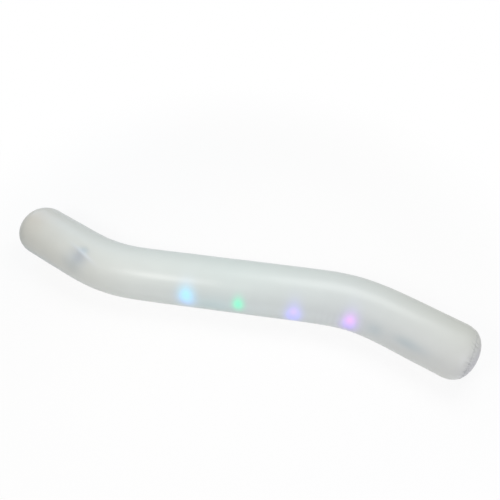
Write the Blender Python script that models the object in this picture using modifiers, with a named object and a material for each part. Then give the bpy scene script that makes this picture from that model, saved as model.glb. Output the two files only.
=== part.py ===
# Light-up inflatable pool noodle: a frosted PVC film tube with a wave in it, a string
# of LED pods held against its front wall, a battery unit and an air valve at the back.
# Metres, +Z up. The origin is on the floor under the middle of the tube, +X runs along
# the middle stretch, and -Y is the front, where the lights show.

import math

import bmesh
import bpy
import numpy as np
from mathutils import Matrix, Vector

for old_object in list(bpy.data.objects):
    bpy.data.objects.remove(old_object, do_unlink=True)

# Fits that all pieces share
gap = 0.0003
cut_overrun = 0.002
weld_distance = 0.00001

# Air tube
tube_radius = 0.0725
film_thickness = 0.0003
middle_length = 0.676
leg_length = 0.311
bend_angle = math.radians(23.7)
bend_reach = 0.159
end_round_length = 0.057
end_round_power = 2.41
seam_angle = math.radians(55.9)
sleeve_sides = 28
shoulder_steps = 5
leg_steps = 2
bend_steps = 14
middle_steps = 6
disc_steps = 6

# Light string
pod_radius = 0.010
pod_height = 0.008
pod_floor = 0.0012
pod_base_height = 0.0032
pod_wall = 0.0026
pod_sides = 16
lens_wall = 0.0012
lens_steps = 4
board_thickness = 0.001
led_size = 0.005
led_height = 0.0016
wire_radius = 0.0012
splice_radius = 0.0024
splice_length = 0.024
splice_clearance = 0.0005
pod_place_shares = (-0.159, 0.052, 0.273, 0.511, 0.762)
splice_place_share = 0.624
light_low_place_share = 0.231
light_low_angle = math.radians(17.5)
light_rise_left = math.radians(10.0)
light_rise_right = math.radians(8.5)
wire_steps = 11
lead_points = 34

# Inner film strip that holds the light string
channel_film = 0.00025
channel_flange = 0.010
channel_slope = 0.003
channel_end_margin = 0.016
channel_slack = 0.0006
channel_steps = 28

# Battery unit
unit_place = -0.134
unit_angle = math.radians(205.0)
cell_radius = 0.00525
cell_length = 0.0445
cell_pitch = 0.0112
cell_count = 3
cell_nub_radius = 0.0019
cell_nub_height = 0.0008
cell_edge = 0.0004
cell_sides = 16
spring_length = 0.0032
spring_foot_radius = 0.0036
spring_tip_radius = 0.0020
spring_wire_radius = 0.00025
spring_turns = 3
spring_points_a_turn = 8
contact_size = 0.008
contact_thickness = 0.0004
case_wall = 0.0016
case_floor = 0.0012
case_side_wall = 0.0068
case_corner_radius = 0.005
partition_thickness = 0.0034
control_bay_length = 0.018
base_margin = 0.002
base_thickness = 0.003
base_depth = 0.007
cover_thickness = 0.0023
cover_corner_radius = 0.003
gasket_width = 0.0012
gasket_thickness = 0.0008
button_radius = 0.005
button_flange = 0.0015
button_flange_thickness = 0.001
button_proud = 0.002
button_edge = 0.0006
button_travel = 0.001
switch_size = 0.006
switch_height = 0.0033
plunger_radius = 0.0017
plunger_clearance = 0.0002
control_board_thickness = 0.0012
control_board_level = 0.0088
chip_length = 0.005
chip_width = 0.004
chip_height = 0.0015
screw_radius = 0.0012
screw_reach = 0.008
screw_head_radius = 0.0022
screw_head_height = 0.0013
screw_head_sink = 0.0011
screw_slot_width = 0.0006
screw_slot_depth = 0.0006
screw_slot_share = 0.6
screw_crown_share = 0.8
screw_clearance = 0.0002
screw_inset = 0.005
screw_sides = 12
gland_neck_radius = 0.004
gland_flange_radius = 0.0055
gland_flange_thickness = 0.001
gland_inner_level = 0.0014
gland_sides = 16

# Air valve
valve_place = 0.130
valve_angle = math.radians(200.0)
valve_flange_radius = 0.019
valve_flange_thickness = 0.001
valve_sides = 24
collar_wall = 0.0021
collar_top = 0.002
collar_reach = 0.009
stem_bore_radius = 0.0043
stem_wall = 0.0018
stem_reach = 0.0105
stem_rim_radius = 0.008
stem_rim_thickness = 0.0013
plug_head_radius = 0.0065
plug_head_thickness = 0.0016
plug_reach = 0.0086
plug_taper = 0.0008
flap_radius = 0.0053
flap_thickness = 0.0006
strap_width = 0.004
strap_thickness = 0.0008
strap_loop = 0.0045
strap_steps = 6

# Sizes that follow
half_length = middle_length / 2 + leg_length
axis_height = tube_radius * math.cos(math.pi / sleeve_sides)
facet_drop = tube_radius - axis_height
wall_depth = film_thickness + facet_drop + gap
pod_bottom_depth = wall_depth + pod_height
wire_depth = pod_bottom_depth - splice_radius
channel_depth = pod_bottom_depth + channel_slack
channel_half_width = pod_radius + channel_slope
bay_length = 2 * gap + spring_length + cell_length + gap + contact_thickness + gap
bay_half_width = cell_count * cell_pitch / 2 + gap
case_length = 2 * case_wall + control_bay_length + partition_thickness + bay_length
case_half_width = bay_half_width + case_side_wall
case_bottom = base_thickness + gap
cell_level = case_bottom + case_floor + gap + cell_radius
rim_level = cell_level + cell_radius + gap
cover_pocket = gap + gasket_thickness
cover_top = rim_level + gap + cover_pocket + cover_thickness
control_left = -case_length / 2 + case_wall
control_right = control_left + control_bay_length
bay_left = control_right + partition_thickness
bay_right = bay_left + bay_length
cover_left = control_right + gap
control_middle = (control_left + control_right) / 2
gasket_outer = bay_half_width + gap + gasket_width

plan_nodes = 2601
plan_s = np.linspace(-half_length, half_length, plan_nodes)


def turn_share(reach):
    # Share of a bend that is behind a point, from -1 where it starts to 1 where it ends
    reach = np.clip(reach, -1, 1)
    return (1 + reach) / 2 + np.sin(math.pi * reach) / (2 * math.pi)


def heading(s):
    left = turn_share((s + middle_length / 2) / bend_reach)
    right = turn_share((s - middle_length / 2) / bend_reach)
    return bend_angle * (left - 1 - right)


def running_sum(values):
    steps = (values[1:] + values[:-1]) / 2 * (plan_s[1] - plan_s[0])
    total = np.concatenate(([0], np.cumsum(steps)))
    return total - total[plan_nodes // 2]


plan_x = running_sum(np.cos(heading(plan_s)))
plan_y = running_sum(np.sin(heading(plan_s)))


def tube_frame(s):
    # Centre of the tube, its direction and its left side at distance s from the middle
    centre = Vector((np.interp(s, plan_s, plan_x), np.interp(s, plan_s, plan_y), axis_height))
    turn = heading(s)
    along = Vector((math.cos(turn), math.sin(turn), 0))
    left = Vector((-math.sin(turn), math.cos(turn), 0))
    return centre, along, left


def outward(left, angle):
    # Angle 0 is the front, 90 degrees the top and 180 degrees the back
    return -left * math.cos(angle) + Vector((0, 0, math.sin(angle)))


def film_point(s, angle, depth, radius=tube_radius):
    centre, _, left = tube_frame(s)
    return centre + outward(left, angle) * (radius - depth)


def film_frame(s, angle, depth=0):
    # Matrix of a piece that sits on the film: +Z points out of the tube, +X along it
    _, along, left = tube_frame(s)
    up = outward(left, angle)
    side = up.cross(along)
    turn = Matrix((along, side, up)).transposed().to_4x4()
    return Matrix.Translation(film_point(s, angle, depth)) @ turn


def light_angle(s):
    # The string lies lowest near the third pod and climbs towards both of its ends
    low = light_low_place_share * half_length
    left_end = pod_place_shares[0] * half_length
    right_end = pod_place_shares[-1] * half_length
    if s < low:
        return light_low_angle + light_rise_left * ((s - low) / (left_end - low)) ** 2
    return light_low_angle + light_rise_right * ((s - low) / (right_end - low)) ** 2


def end_profile(angle, inset):
    # Radius and distance from the tip of the rounded end, from the tip at angle 0
    power = 2 / end_round_power
    radius = (tube_radius - inset) * math.sin(angle) ** power
    from_tip = inset + (end_round_length - inset) * (1 - abs(math.cos(angle)) ** power)
    return radius, from_tip


noodle = bpy.data.collections.new("pool_noodle")
cutters = bpy.data.collections.new("cutters")
bpy.context.scene.collection.children.link(noodle)
bpy.context.scene.collection.children.link(cutters)
finishes = {}


def finish(name, colour, roughness, metallic=0.0, alpha=1.0):
    if name in finishes:
        return finishes[name]
    material = bpy.data.materials.new(name)
    material.use_nodes = True
    shader = material.node_tree.nodes["Principled BSDF"]
    shader.inputs["Base Color"].default_value = (*colour, 1)
    shader.inputs["Roughness"].default_value = roughness
    shader.inputs["Metallic"].default_value = metallic
    shader.inputs["Alpha"].default_value = alpha
    finishes[name] = material
    return material


frosted_film = finish("frosted_film", (0.62, 0.65, 0.63), 0.45, alpha=0.75)
clear_film = finish("clear_film", (0.75, 0.78, 0.78), 0.2, alpha=0.5)
clear_lens = finish("clear_lens", (0.85, 0.88, 0.9), 0.1, alpha=0.6)
white_plastic = finish("white_plastic", (0.75, 0.76, 0.74), 0.4)
grey_plastic = finish("grey_plastic", (0.30, 0.32, 0.34), 0.45)
board_green = finish("board_green", (0.04, 0.18, 0.09), 0.4)
led_cream = finish("led_cream", (0.85, 0.82, 0.6), 0.3)
wire_white = finish("wire_white", (0.7, 0.72, 0.74), 0.4)
splice_blue = finish("splice_blue", (0.04, 0.06, 0.1), 0.5)
rubber_grey = finish("rubber_grey", (0.12, 0.12, 0.13), 0.7)
button_blue = finish("button_blue", (0.10, 0.35, 0.60), 0.5)
cell_silver = finish("cell_silver", (0.55, 0.56, 0.58), 0.3, metallic=0.8)
nickel = finish("nickel", (0.62, 0.60, 0.56), 0.3, metallic=1.0)
steel = finish("steel", (0.56, 0.57, 0.58), 0.3, metallic=1.0)
chip_black = finish("chip_black", (0.02, 0.02, 0.02), 0.5)
valve_vinyl = finish("valve_vinyl", (0.72, 0.75, 0.76), 0.25, alpha=0.7)


def smooth(mesh, angle=math.radians(35)):
    mesh.shade_smooth()
    mesh.set_sharp_from_angle(angle=angle)


def add_object(name, data, material=None, parent=None, location=(0, 0, 0), rotation=(0, 0, 0)):
    # Without a material the object is a cutter
    item = bpy.data.objects.new(name, data)
    if material:
        noodle.objects.link(item)
        if not data.materials:
            data.materials.append(material)
    else:
        cutters.objects.link(item)
        item.hide_render = True
        item.display_type = "WIRE"
    item.parent = parent
    item.location = location
    item.rotation_euler = rotation
    return item


def add_holder(name, matrix):
    holder = bpy.data.objects.new(name, None)
    noodle.objects.link(holder)
    holder.matrix_world = matrix
    return holder


def mesh_from(bm, name):
    mesh = bpy.data.meshes.new(name)
    bm.to_mesh(mesh)
    bm.free()
    return mesh


def box_mesh(name, x_span, y_span, z_span, corner=0):
    # A block between two corners, with its upright edges rounded
    bm = bmesh.new()
    bmesh.ops.create_cube(bm, size=1)
    size = [span[1] - span[0] for span in (x_span, y_span, z_span)]
    middle = [sum(span) / 2 for span in (x_span, y_span, z_span)]
    bmesh.ops.scale(bm, vec=size, verts=bm.verts)
    bmesh.ops.translate(bm, vec=middle, verts=bm.verts)
    if corner:
        upright = [edge for edge in bm.edges
                   if abs(edge.verts[0].co.z - edge.verts[1].co.z) > size[2] / 2]
        bmesh.ops.bevel(bm, geom=upright, offset=corner, segments=3, profile=0.5, affect="EDGES")
    return mesh_from(bm, name)


def rod_mesh(name, radius, z_span, sides):
    bm = bmesh.new()
    depth = z_span[1] - z_span[0]
    bmesh.ops.create_cone(bm, cap_ends=True, segments=sides, radius1=radius, radius2=radius, depth=depth)
    bmesh.ops.translate(bm, vec=(0, 0, sum(z_span) / 2), verts=bm.verts)
    mesh = mesh_from(bm, name)
    smooth(mesh)
    return mesh


def turned_mesh(name, profile, closed=False):
    # A profile of (radius, height) points for a Screw modifier, down its outer side first
    bm = bmesh.new()
    points = [bm.verts.new((radius, 0, height)) for radius, height in profile]
    for start, end in zip(points, points[1:]):
        bm.edges.new((start, end))
    if closed:
        bm.edges.new((points[-1], points[0]))
    return mesh_from(bm, name)


def turn(item, sides):
    screw = item.modifiers.new("Turn", "SCREW")
    screw.axis = "Z"
    screw.angle = 2 * math.pi
    screw.steps = sides
    screw.render_steps = sides
    screw.use_merge_vertices = True
    screw.merge_threshold = weld_distance
    screw.use_smooth_shade = True
    return item


def combine(item, other, operation="DIFFERENCE"):
    boolean = item.modifiers.new(other.name, "BOOLEAN")
    boolean.operation = operation
    boolean.solver = "EXACT"
    boolean.object = other
    return item


def thicken(item, thickness, offset=-1):
    # The wall grows inwards from the modelled surface, or to both sides at offset 0
    wall = item.modifiers.new("Thickness", "SOLIDIFY")
    wall.thickness = thickness
    wall.offset = offset
    wall.use_even_offset = True
    return item


def film_mesh(name, rows, columns, place, closed_across=False):
    # A flat grid whose points place(row, column) puts where the film lies
    bm = bmesh.new()
    bmesh.ops.create_grid(bm, x_segments=rows - 1, y_segments=columns - 1, size=1)
    for vert in bm.verts:
        row = round((vert.co.x + 1) / 2 * (rows - 1))
        column = round((vert.co.y + 1) / 2 * (columns - 1))
        vert.co = place(row, column)
    if closed_across:
        bmesh.ops.remove_doubles(bm, verts=bm.verts, dist=weld_distance)
    mesh = mesh_from(bm, name)
    smooth(mesh)
    return mesh


def smooth_route(points, count, samples=20):
    # Evenly spread points on a smooth curve through the route's own points
    knots = [points[0]] + list(points) + [points[-1]]
    curve = []
    for index in range(len(points) - 1):
        a, b, c, d = (Vector(knot) for knot in knots[index:index + 4])
        for step in range(samples):
            t = step / samples
            curve.append((2 * b + (c - a) * t + (2 * a - 5 * b + 4 * c - d) * t ** 2
                          + (3 * b - a - 3 * c + d) * t ** 3) / 2)
    curve.append(Vector(points[-1]))
    lengths = [0]
    for start, end in zip(curve, curve[1:]):
        lengths.append(lengths[-1] + (end - start).length)
    wanted = np.linspace(0, lengths[-1], count)
    axes = [np.interp(wanted, lengths, [point[axis] for point in curve]) for axis in range(3)]
    return [Vector(values) for values in zip(*axes)]


def tube_object(name, route, radius, material, parent=None, location=(0, 0, 0),
                rotation=(0, 0, 0), resolution=2):
    curve = bpy.data.curves.new(name, "CURVE")
    curve.dimensions = "3D"
    curve.bevel_depth = radius
    curve.bevel_resolution = resolution
    curve.use_fill_caps = True
    spline = curve.splines.new("POLY")
    spline.points.add(len(route) - 1)
    for point, place in zip(spline.points, route):
        point.co = (*place, 1)
    return add_object(name, curve, material, parent, location, rotation)


def sleeve_stations():
    # Distances from the middle of the tube at which the sleeve has a ring of points
    half = [middle_length / 2 - bend_reach]
    half += [half[0] + 2 * bend_reach * step / bend_steps for step in range(1, bend_steps + 1)]
    straight_end = half_length - end_round_length
    straight = straight_end - half[-1]
    half += [half[-1] + straight * step / leg_steps for step in range(1, leg_steps + 1)]
    for step in range(1, shoulder_steps + 1):
        angle = math.pi / 2 + (seam_angle - math.pi / 2) * step / shoulder_steps
        half.append(half_length - end_profile(angle, 0)[1])
    middle = [half[0] * (2 * step / middle_steps - 1) for step in range(1, middle_steps)]
    return [-s for s in reversed(half)] + middle + half


def sleeve_radius(s):
    from_tip = half_length - abs(s)
    if from_tip >= end_round_length:
        return tube_radius
    left_over = 1 - from_tip / end_round_length
    return tube_radius * (1 - left_over ** end_round_power) ** (1 / end_round_power)


def side_angle(side):
    return (side + 0.5) * 2 * math.pi / sleeve_sides


def build_air_tube(unit, valve):
    stations = sleeve_stations()

    def place(row, column):
        s = stations[row]
        return film_point(s, side_angle(column), 0, sleeve_radius(s))

    mesh = film_mesh("sleeve_film", len(stations), sleeve_sides + 1, place, closed_across=True)
    sleeve = thicken(add_object("sleeve_film", mesh, frosted_film), film_thickness)
    reach = (-base_depth - cut_overrun, base_depth + cut_overrun)
    gland_hole = rod_mesh("gland_hole", gland_neck_radius + gap, reach, gland_sides)
    combine(sleeve, add_object("gland_hole", gland_hole, parent=unit, location=(control_middle, 0, 0)))
    collar_radius = stem_bore_radius + stem_wall + gap + collar_wall
    collar_hole = rod_mesh("collar_hole", collar_radius + gap, reach, valve_sides)
    combine(sleeve, add_object("collar_hole", collar_hole, parent=valve))

    # The end discs lap inside the sleeve's ends, up to its second ring
    inset = film_thickness + gap
    lap_angle = seam_angle + (math.pi / 2 - seam_angle) / shoulder_steps
    angles = [seam_angle * step / disc_steps for step in range(disc_steps + 1)] + [lap_angle]
    profile = [(radius, -from_tip) for radius, from_tip in (end_profile(a, inset) for a in angles)]
    disc_mesh = turned_mesh("end_disc", profile)
    for side, name in ((-1, "end_disc_left"), (1, "end_disc_right")):
        centre, along, left = tube_frame(side * half_length)
        tip = along * side
        start = outward(left, side_angle(0))
        frame = Matrix((start, tip.cross(start), tip)).transposed().to_4x4()
        disc = add_object(name, disc_mesh, frosted_film)
        disc.matrix_world = Matrix.Translation(centre) @ frame
        thicken(turn(disc, sleeve_sides), film_thickness)


def build_channel():
    start = pod_place_shares[0] * half_length - pod_radius - channel_end_margin
    end = pod_place_shares[-1] * half_length + pod_radius + channel_end_margin
    foot = channel_half_width + channel_flange
    pocket = pod_radius + channel_slack
    section = [(-foot, wall_depth), (-channel_half_width, wall_depth), (-pocket, channel_depth),
               (0, channel_depth), (pocket, channel_depth), (channel_half_width, wall_depth),
               (foot, wall_depth)]

    def place(row, column):
        s = start + (end - start) * row / channel_steps
        across, depth = section[column]
        return film_point(s, light_angle(s) + across / (tube_radius - depth), depth)

    mesh = film_mesh("light_channel_film", channel_steps + 1, len(section), place)
    thicken(add_object("light_channel_film", mesh, clear_film), channel_film)


def pod_meshes():
    recess = pod_radius - pod_wall
    base = turned_mesh("pod_base", [
        (0, pod_floor), (recess, pod_floor), (recess, pod_base_height),
        (pod_radius, pod_base_height), (pod_radius, 0), (0, 0)])
    foot = pod_base_height + gap
    rise = pod_height - foot
    outer, inner = [], []
    for step in range(lens_steps + 1):
        angle = math.pi / 2 * step / lens_steps
        outer.append((pod_radius * math.sin(angle), foot + rise * math.cos(angle)))
        inner.append(((pod_radius - lens_wall) * math.sin(angle),
                      foot + (rise - lens_wall) * math.cos(angle)))
    lens = turned_mesh("pod_lens", outer + list(reversed(inner)))
    board_bottom = pod_floor + gap
    board = rod_mesh("pod_board", recess - gap, (board_bottom, board_bottom + board_thickness), pod_sides)
    led_bottom = board_bottom + board_thickness + gap
    half = led_size / 2
    led = box_mesh("pod_led", (-half, half), (-half, half), (led_bottom, led_bottom + led_height))
    return base, lens, board, led


def pod_side(s, way):
    # Where a wire meets the side of the pod at s, in the string's direction or against it
    return film_frame(s, light_angle(s), wire_depth) @ Vector((way * (pod_radius + gap), 0, 0))


def build_light_string():
    base, lens, board, led = pod_meshes()
    places = [share * half_length for share in pod_place_shares]
    for number, s in enumerate(places, start=1):
        holder = add_holder(f"pod_{number}", film_frame(s, light_angle(s), pod_bottom_depth))
        turn(add_object(f"pod_base_{number}", base, white_plastic, holder), pod_sides)
        turn(add_object(f"pod_lens_{number}", lens, clear_lens, holder), pod_sides)
        add_object(f"pod_board_{number}", board, board_green, holder)
        add_object(f"pod_led_{number}", led, led_cream, holder)

    for number, (left, right) in enumerate(zip(places, places[1:]), start=1):
        stops = np.linspace(left + 2 * pod_radius, right - 2 * pod_radius, wire_steps)
        route = [film_point(s, light_angle(s), wire_depth) for s in stops]
        route = [pod_side(left, 1)] + route + [pod_side(right, -1)]
        tube_object(f"wire_{number}_{number + 1}", route, wire_radius, wire_white)

    s = splice_place_share * half_length
    half = splice_length / 2
    start, end = [film_point(place, light_angle(place), wire_depth) for place in (s - half, s + half)]
    bore = wire_radius + splice_clearance
    profile = [(bore, half), (splice_radius, half), (splice_radius, -half), (bore, -half)]
    splice = turned_mesh("wire_splice_sleeve", profile, closed=True)
    tilt = (end - start).to_track_quat("Z", "Y").to_euler()
    middle = (start + end) / 2
    sleeve = add_object("wire_splice_sleeve", splice, splice_blue, location=middle, rotation=tilt)
    turn(sleeve, screw_sides)

    # The lead comes in through the gland, lies along the inside of the wall under its own
    # weight, and climbs into the channel beside the first pod
    gland_s = unit_place + control_middle
    rest = wall_depth + wire_radius
    entry = places[0] - pod_radius - gap
    run = entry - gland_s
    board_under = control_board_level - gap
    stops = [(0.00, 205, -board_under), (0.00, 205, gland_inner_level + gland_flange_thickness),
             (0.00, 206, 3 * rest), (0.01, 214, 4 * rest), (0.03, 226, 3 * rest),
             (0.06, 240, 1.5 * rest), (0.10, 258, 1.1 * rest), (0.17, 285, 1.1 * rest),
             (0.24, 315, 1.1 * rest), (0.32, 345, 1.1 * rest), (0.42, 366, 1.3 * rest),
             (0.54, 382, 2 * rest)]
    route = [film_point(gland_s + share * run, math.radians(degrees), depth)
             for share, degrees, depth in stops]
    for share in (0.68, 0.8, 0.92):
        s = gland_s + share * run
        route.append(film_point(s, light_angle(s), wire_depth))
    route.append(pod_side(places[0], -1))
    tube_object("wire_lead", smooth_route(route, lead_points), wire_radius, wire_white)


def build_case(unit):
    half = case_length / 2
    base_half = half + base_margin
    base_side = case_half_width + base_margin
    base_mesh = box_mesh("case_base", (-base_half, base_half), (-base_side, base_side),
                         (-base_depth, base_thickness), case_corner_radius)
    base = add_object("case_base", base_mesh, grey_plastic, unit)
    saddle_reach = (-base_half - cut_overrun, base_half + cut_overrun)
    saddle = rod_mesh("saddle", tube_radius + gap, saddle_reach, 2 * sleeve_sides)
    combine(base, add_object("base_saddle", saddle, parent=unit, location=(0, 0, -tube_radius),
                             rotation=(0, math.pi / 2, 0)))
    gland_bore = rod_mesh("gland_bore", gland_neck_radius + gap, (-base_depth, base_depth), gland_sides)
    combine(base, add_object("base_gland_bore", gland_bore, parent=unit, location=(control_middle, 0, 0)))

    width = (-case_half_width, case_half_width)
    body_mesh = box_mesh("case_body", (-half, half), width, (case_bottom, cover_top), case_corner_radius)
    body = add_object("case_body", body_mesh, grey_plastic, unit)
    over = cover_top + cut_overrun
    side = case_half_width + cut_overrun
    step = box_mesh("cover_step", (control_right, half + cut_overrun), (-side, side), (rim_level, over))
    combine(body, add_object("cover_step", step, parent=unit))
    bay = box_mesh("battery_bay", (bay_left, bay_right), (-bay_half_width, bay_half_width),
                   (case_bottom + case_floor, over))
    combine(body, add_object("battery_bay", bay, parent=unit))
    roof = cover_top - case_wall
    control = box_mesh("control_bay", (control_left, control_right - case_wall),
                       (-bay_half_width, bay_half_width), (case_bottom - cut_overrun, roof))
    combine(body, add_object("control_bay", control, parent=unit))
    hole = rod_mesh("button_hole", button_radius + gap, (roof - cut_overrun, over), gland_sides)
    combine(body, add_object("button_hole", hole, parent=unit, location=(control_middle, 0, 0)))

    cover_mesh = box_mesh("battery_cover", (cover_left, half), width, (rim_level + gap, cover_top),
                          cover_corner_radius)
    cover = add_object("battery_cover", cover_mesh, grey_plastic, unit)
    pocket_left = bay_left - gasket_width - 2 * gap
    pocket_right = bay_right + gasket_width
    pocket_side = gasket_outer + gap
    pocket = box_mesh("gasket_pocket", (pocket_left, pocket_right), (-pocket_side, pocket_side),
                      (rim_level - cut_overrun, rim_level + gap + cover_pocket))
    combine(cover, add_object("gasket_pocket", pocket, parent=unit))

    gasket_bottom = rim_level + gap
    gasket_mesh = box_mesh("cover_gasket", (pocket_left + gap, pocket_right - gap),
                           (-gasket_outer, gasket_outer), (gasket_bottom, gasket_bottom + gasket_thickness))
    gasket = add_object("cover_gasket", gasket_mesh, rubber_grey, unit)
    window_left = pocket_left + gap + gasket_width
    window_right = pocket_right - gap - gasket_width
    window_side = gasket_outer - gasket_width
    window = box_mesh("gasket_window", (window_left, window_right), (-window_side, window_side),
                      (rim_level - cut_overrun, over))
    combine(gasket, add_object("gasket_window", window, parent=unit))
    build_screws(unit, body, cover, half)


def build_screws(unit, body, cover, half):
    seat = cover_top - screw_head_sink
    head_bottom = seat + gap
    head_top = head_bottom + screw_head_height
    tip = rim_level - screw_reach
    head_edge = head_bottom + screw_head_height / 2
    profile = [(0, head_top), (screw_head_radius * screw_crown_share, head_top),
               (screw_head_radius, head_edge), (screw_head_radius, head_bottom),
               (screw_radius, head_bottom), (screw_radius, tip + screw_radius),
               (screw_radius / 2, tip), (0, tip)]
    blank = turn(add_object("screw_blank", turned_mesh("screw_blank", profile), steel), screw_sides)
    slots = []
    reach = screw_head_radius * screw_slot_share
    width = screw_slot_width / 2
    for number, angle in enumerate((0, math.pi / 2), start=1):
        slot = box_mesh(f"screw_slot_{number}", (-reach, reach), (-width, width),
                        (head_top - screw_slot_depth, head_top + cut_overrun))
        slots.append(add_object(f"screw_slot_{number}", slot, rotation=(0, 0, angle)))
        combine(blank, slots[-1])
    bpy.context.view_layer.update()
    screw_mesh = bpy.data.meshes.new_from_object(blank.evaluated_get(bpy.context.evaluated_depsgraph_get()))
    for leftover in [blank] + slots:
        bpy.data.objects.remove(leftover, do_unlink=True)

    over = cover_top + cut_overrun
    thread_hole = rod_mesh("thread_hole", screw_radius + screw_clearance,
                           (tip - gap, rim_level + cut_overrun), screw_sides)
    shank_hole = rod_mesh("shank_hole", screw_radius + gap, (rim_level, over), screw_sides)
    head_hole = rod_mesh("head_hole", screw_head_radius + gap, (seat, over), screw_sides)
    side = (gasket_outer + case_half_width) / 2
    corners = [(x, y) for x in (cover_left + screw_inset, half - screw_inset) for y in (-side, side)]
    for number, (x, y) in enumerate(corners, start=1):
        place = (x, y, 0)
        add_object(f"cover_screw_{number}", screw_mesh, steel, unit, place)
        combine(body, add_object(f"thread_hole_{number}", thread_hole, parent=unit, location=place))
        combine(cover, add_object(f"shank_hole_{number}", shank_hole, parent=unit, location=place))
        combine(cover, add_object(f"head_hole_{number}", head_hole, parent=unit, location=place))


def build_cells(unit):
    half = cell_length / 2
    shoulder = half - cell_nub_height
    cell = turned_mesh("battery", [
        (0, half), (cell_nub_radius, half), (cell_nub_radius, shoulder),
        (cell_radius - cell_edge, shoulder), (cell_radius, shoulder - cell_edge),
        (cell_radius, -half + cell_edge), (cell_radius - cell_edge, -half), (0, -half)])
    side = contact_size / 2
    contact = box_mesh("battery_contact", (-side, side), (-side, side), (0, contact_thickness))
    points = spring_turns * spring_points_a_turn
    travel = spring_length - 2 * spring_wire_radius
    coil = []
    for point in range(points + 1):
        angle = 2 * math.pi * point / spring_points_a_turn
        radius = spring_foot_radius + (spring_tip_radius - spring_foot_radius) * point / points
        height = spring_wire_radius + travel * point / points
        coil.append(Vector((radius * math.cos(angle), radius * math.sin(angle), height)))

    for number in range(1, cell_count + 1):
        y = (number - (cell_count + 1) / 2) * cell_pitch
        # The middle cell lies the other way round
        way = 1 if number % 2 else -1
        plus_wall = bay_right if way > 0 else bay_left
        minus_wall = bay_left if way > 0 else bay_right
        tilt = (0, way * math.pi / 2, 0)
        cell_middle = minus_wall + way * (2 * gap + spring_length + half)
        place = (cell_middle, y, cell_level)
        turn(add_object(f"battery_{number}", cell, cell_silver, unit, place, tilt), cell_sides)
        contact_place = (plus_wall - way * (gap + contact_thickness), y, cell_level)
        add_object(f"battery_contact_{number}", contact, nickel, unit, contact_place, tilt)
        tube_object(f"battery_spring_{number}", coil, spring_wire_radius, nickel, unit,
                    (minus_wall + way * gap, y, cell_level), tilt, resolution=1)


def build_controls(unit):
    bay_end = control_right - case_wall
    board_top = control_board_level + control_board_thickness
    side = bay_half_width - gap
    board = box_mesh("control_board", (control_left + gap, bay_end - gap), (-side, side),
                     (control_board_level, board_top))
    add_object("control_board", board, board_green, unit)
    half = switch_size / 2
    switch_bottom = board_top + gap
    switch_top = switch_bottom + switch_height
    switch_span = (control_middle - half, control_middle + half)
    switch_mesh = box_mesh("switch_body", switch_span, (-half, half), (switch_bottom, switch_top))
    switch = add_object("switch_body", switch_mesh, chip_black, unit)
    roof = cover_top - case_wall
    flange_top = roof - gap
    flange_bottom = flange_top - button_flange_thickness
    plunger_top = flange_bottom - gap
    plunger_bottom = switch_top - plunger_radius / 2
    bore = rod_mesh("plunger_bore", plunger_radius + plunger_clearance,
                    (plunger_bottom - button_travel - gap, switch_top + cut_overrun), screw_sides)
    combine(switch, add_object("plunger_bore", bore, parent=unit, location=(control_middle, 0, 0)))
    plunger = rod_mesh("switch_plunger", plunger_radius, (plunger_bottom, plunger_top), screw_sides)
    add_object("switch_plunger", plunger, white_plastic, unit, (control_middle, 0, 0))

    top = cover_top + button_proud
    flange_radius = button_radius + button_flange
    profile = [(0, top), (button_radius - button_edge, top), (button_radius, top - button_edge),
               (button_radius, flange_top), (flange_radius, flange_top), (flange_radius, flange_bottom),
               (0, flange_bottom)]
    button = add_object("push_button", turned_mesh("push_button", profile), button_blue, unit,
                        (control_middle, 0, 0))
    turn(button, gland_sides)

    chip_y = bay_half_width / 2
    chip = box_mesh("control_chip", (control_middle - chip_length / 2, control_middle + chip_length / 2),
                    (chip_y, chip_y + chip_width), (board_top + gap, board_top + gap + chip_height))
    add_object("control_chip", chip, chip_black, unit)

    bore = wire_radius + gap
    upper = case_bottom + gland_flange_thickness
    lower = -gland_inner_level - gland_flange_thickness
    profile = [(bore, upper), (gland_flange_radius, upper), (gland_flange_radius, case_bottom),
               (gland_neck_radius, case_bottom), (gland_neck_radius, -gland_inner_level),
               (gland_flange_radius, -gland_inner_level), (gland_flange_radius, lower), (bore, lower)]
    gland = add_object("cable_gland", turned_mesh("cable_gland", profile, closed=True), rubber_grey, unit,
                       (control_middle, 0, 0))
    turn(gland, gland_sides)


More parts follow.
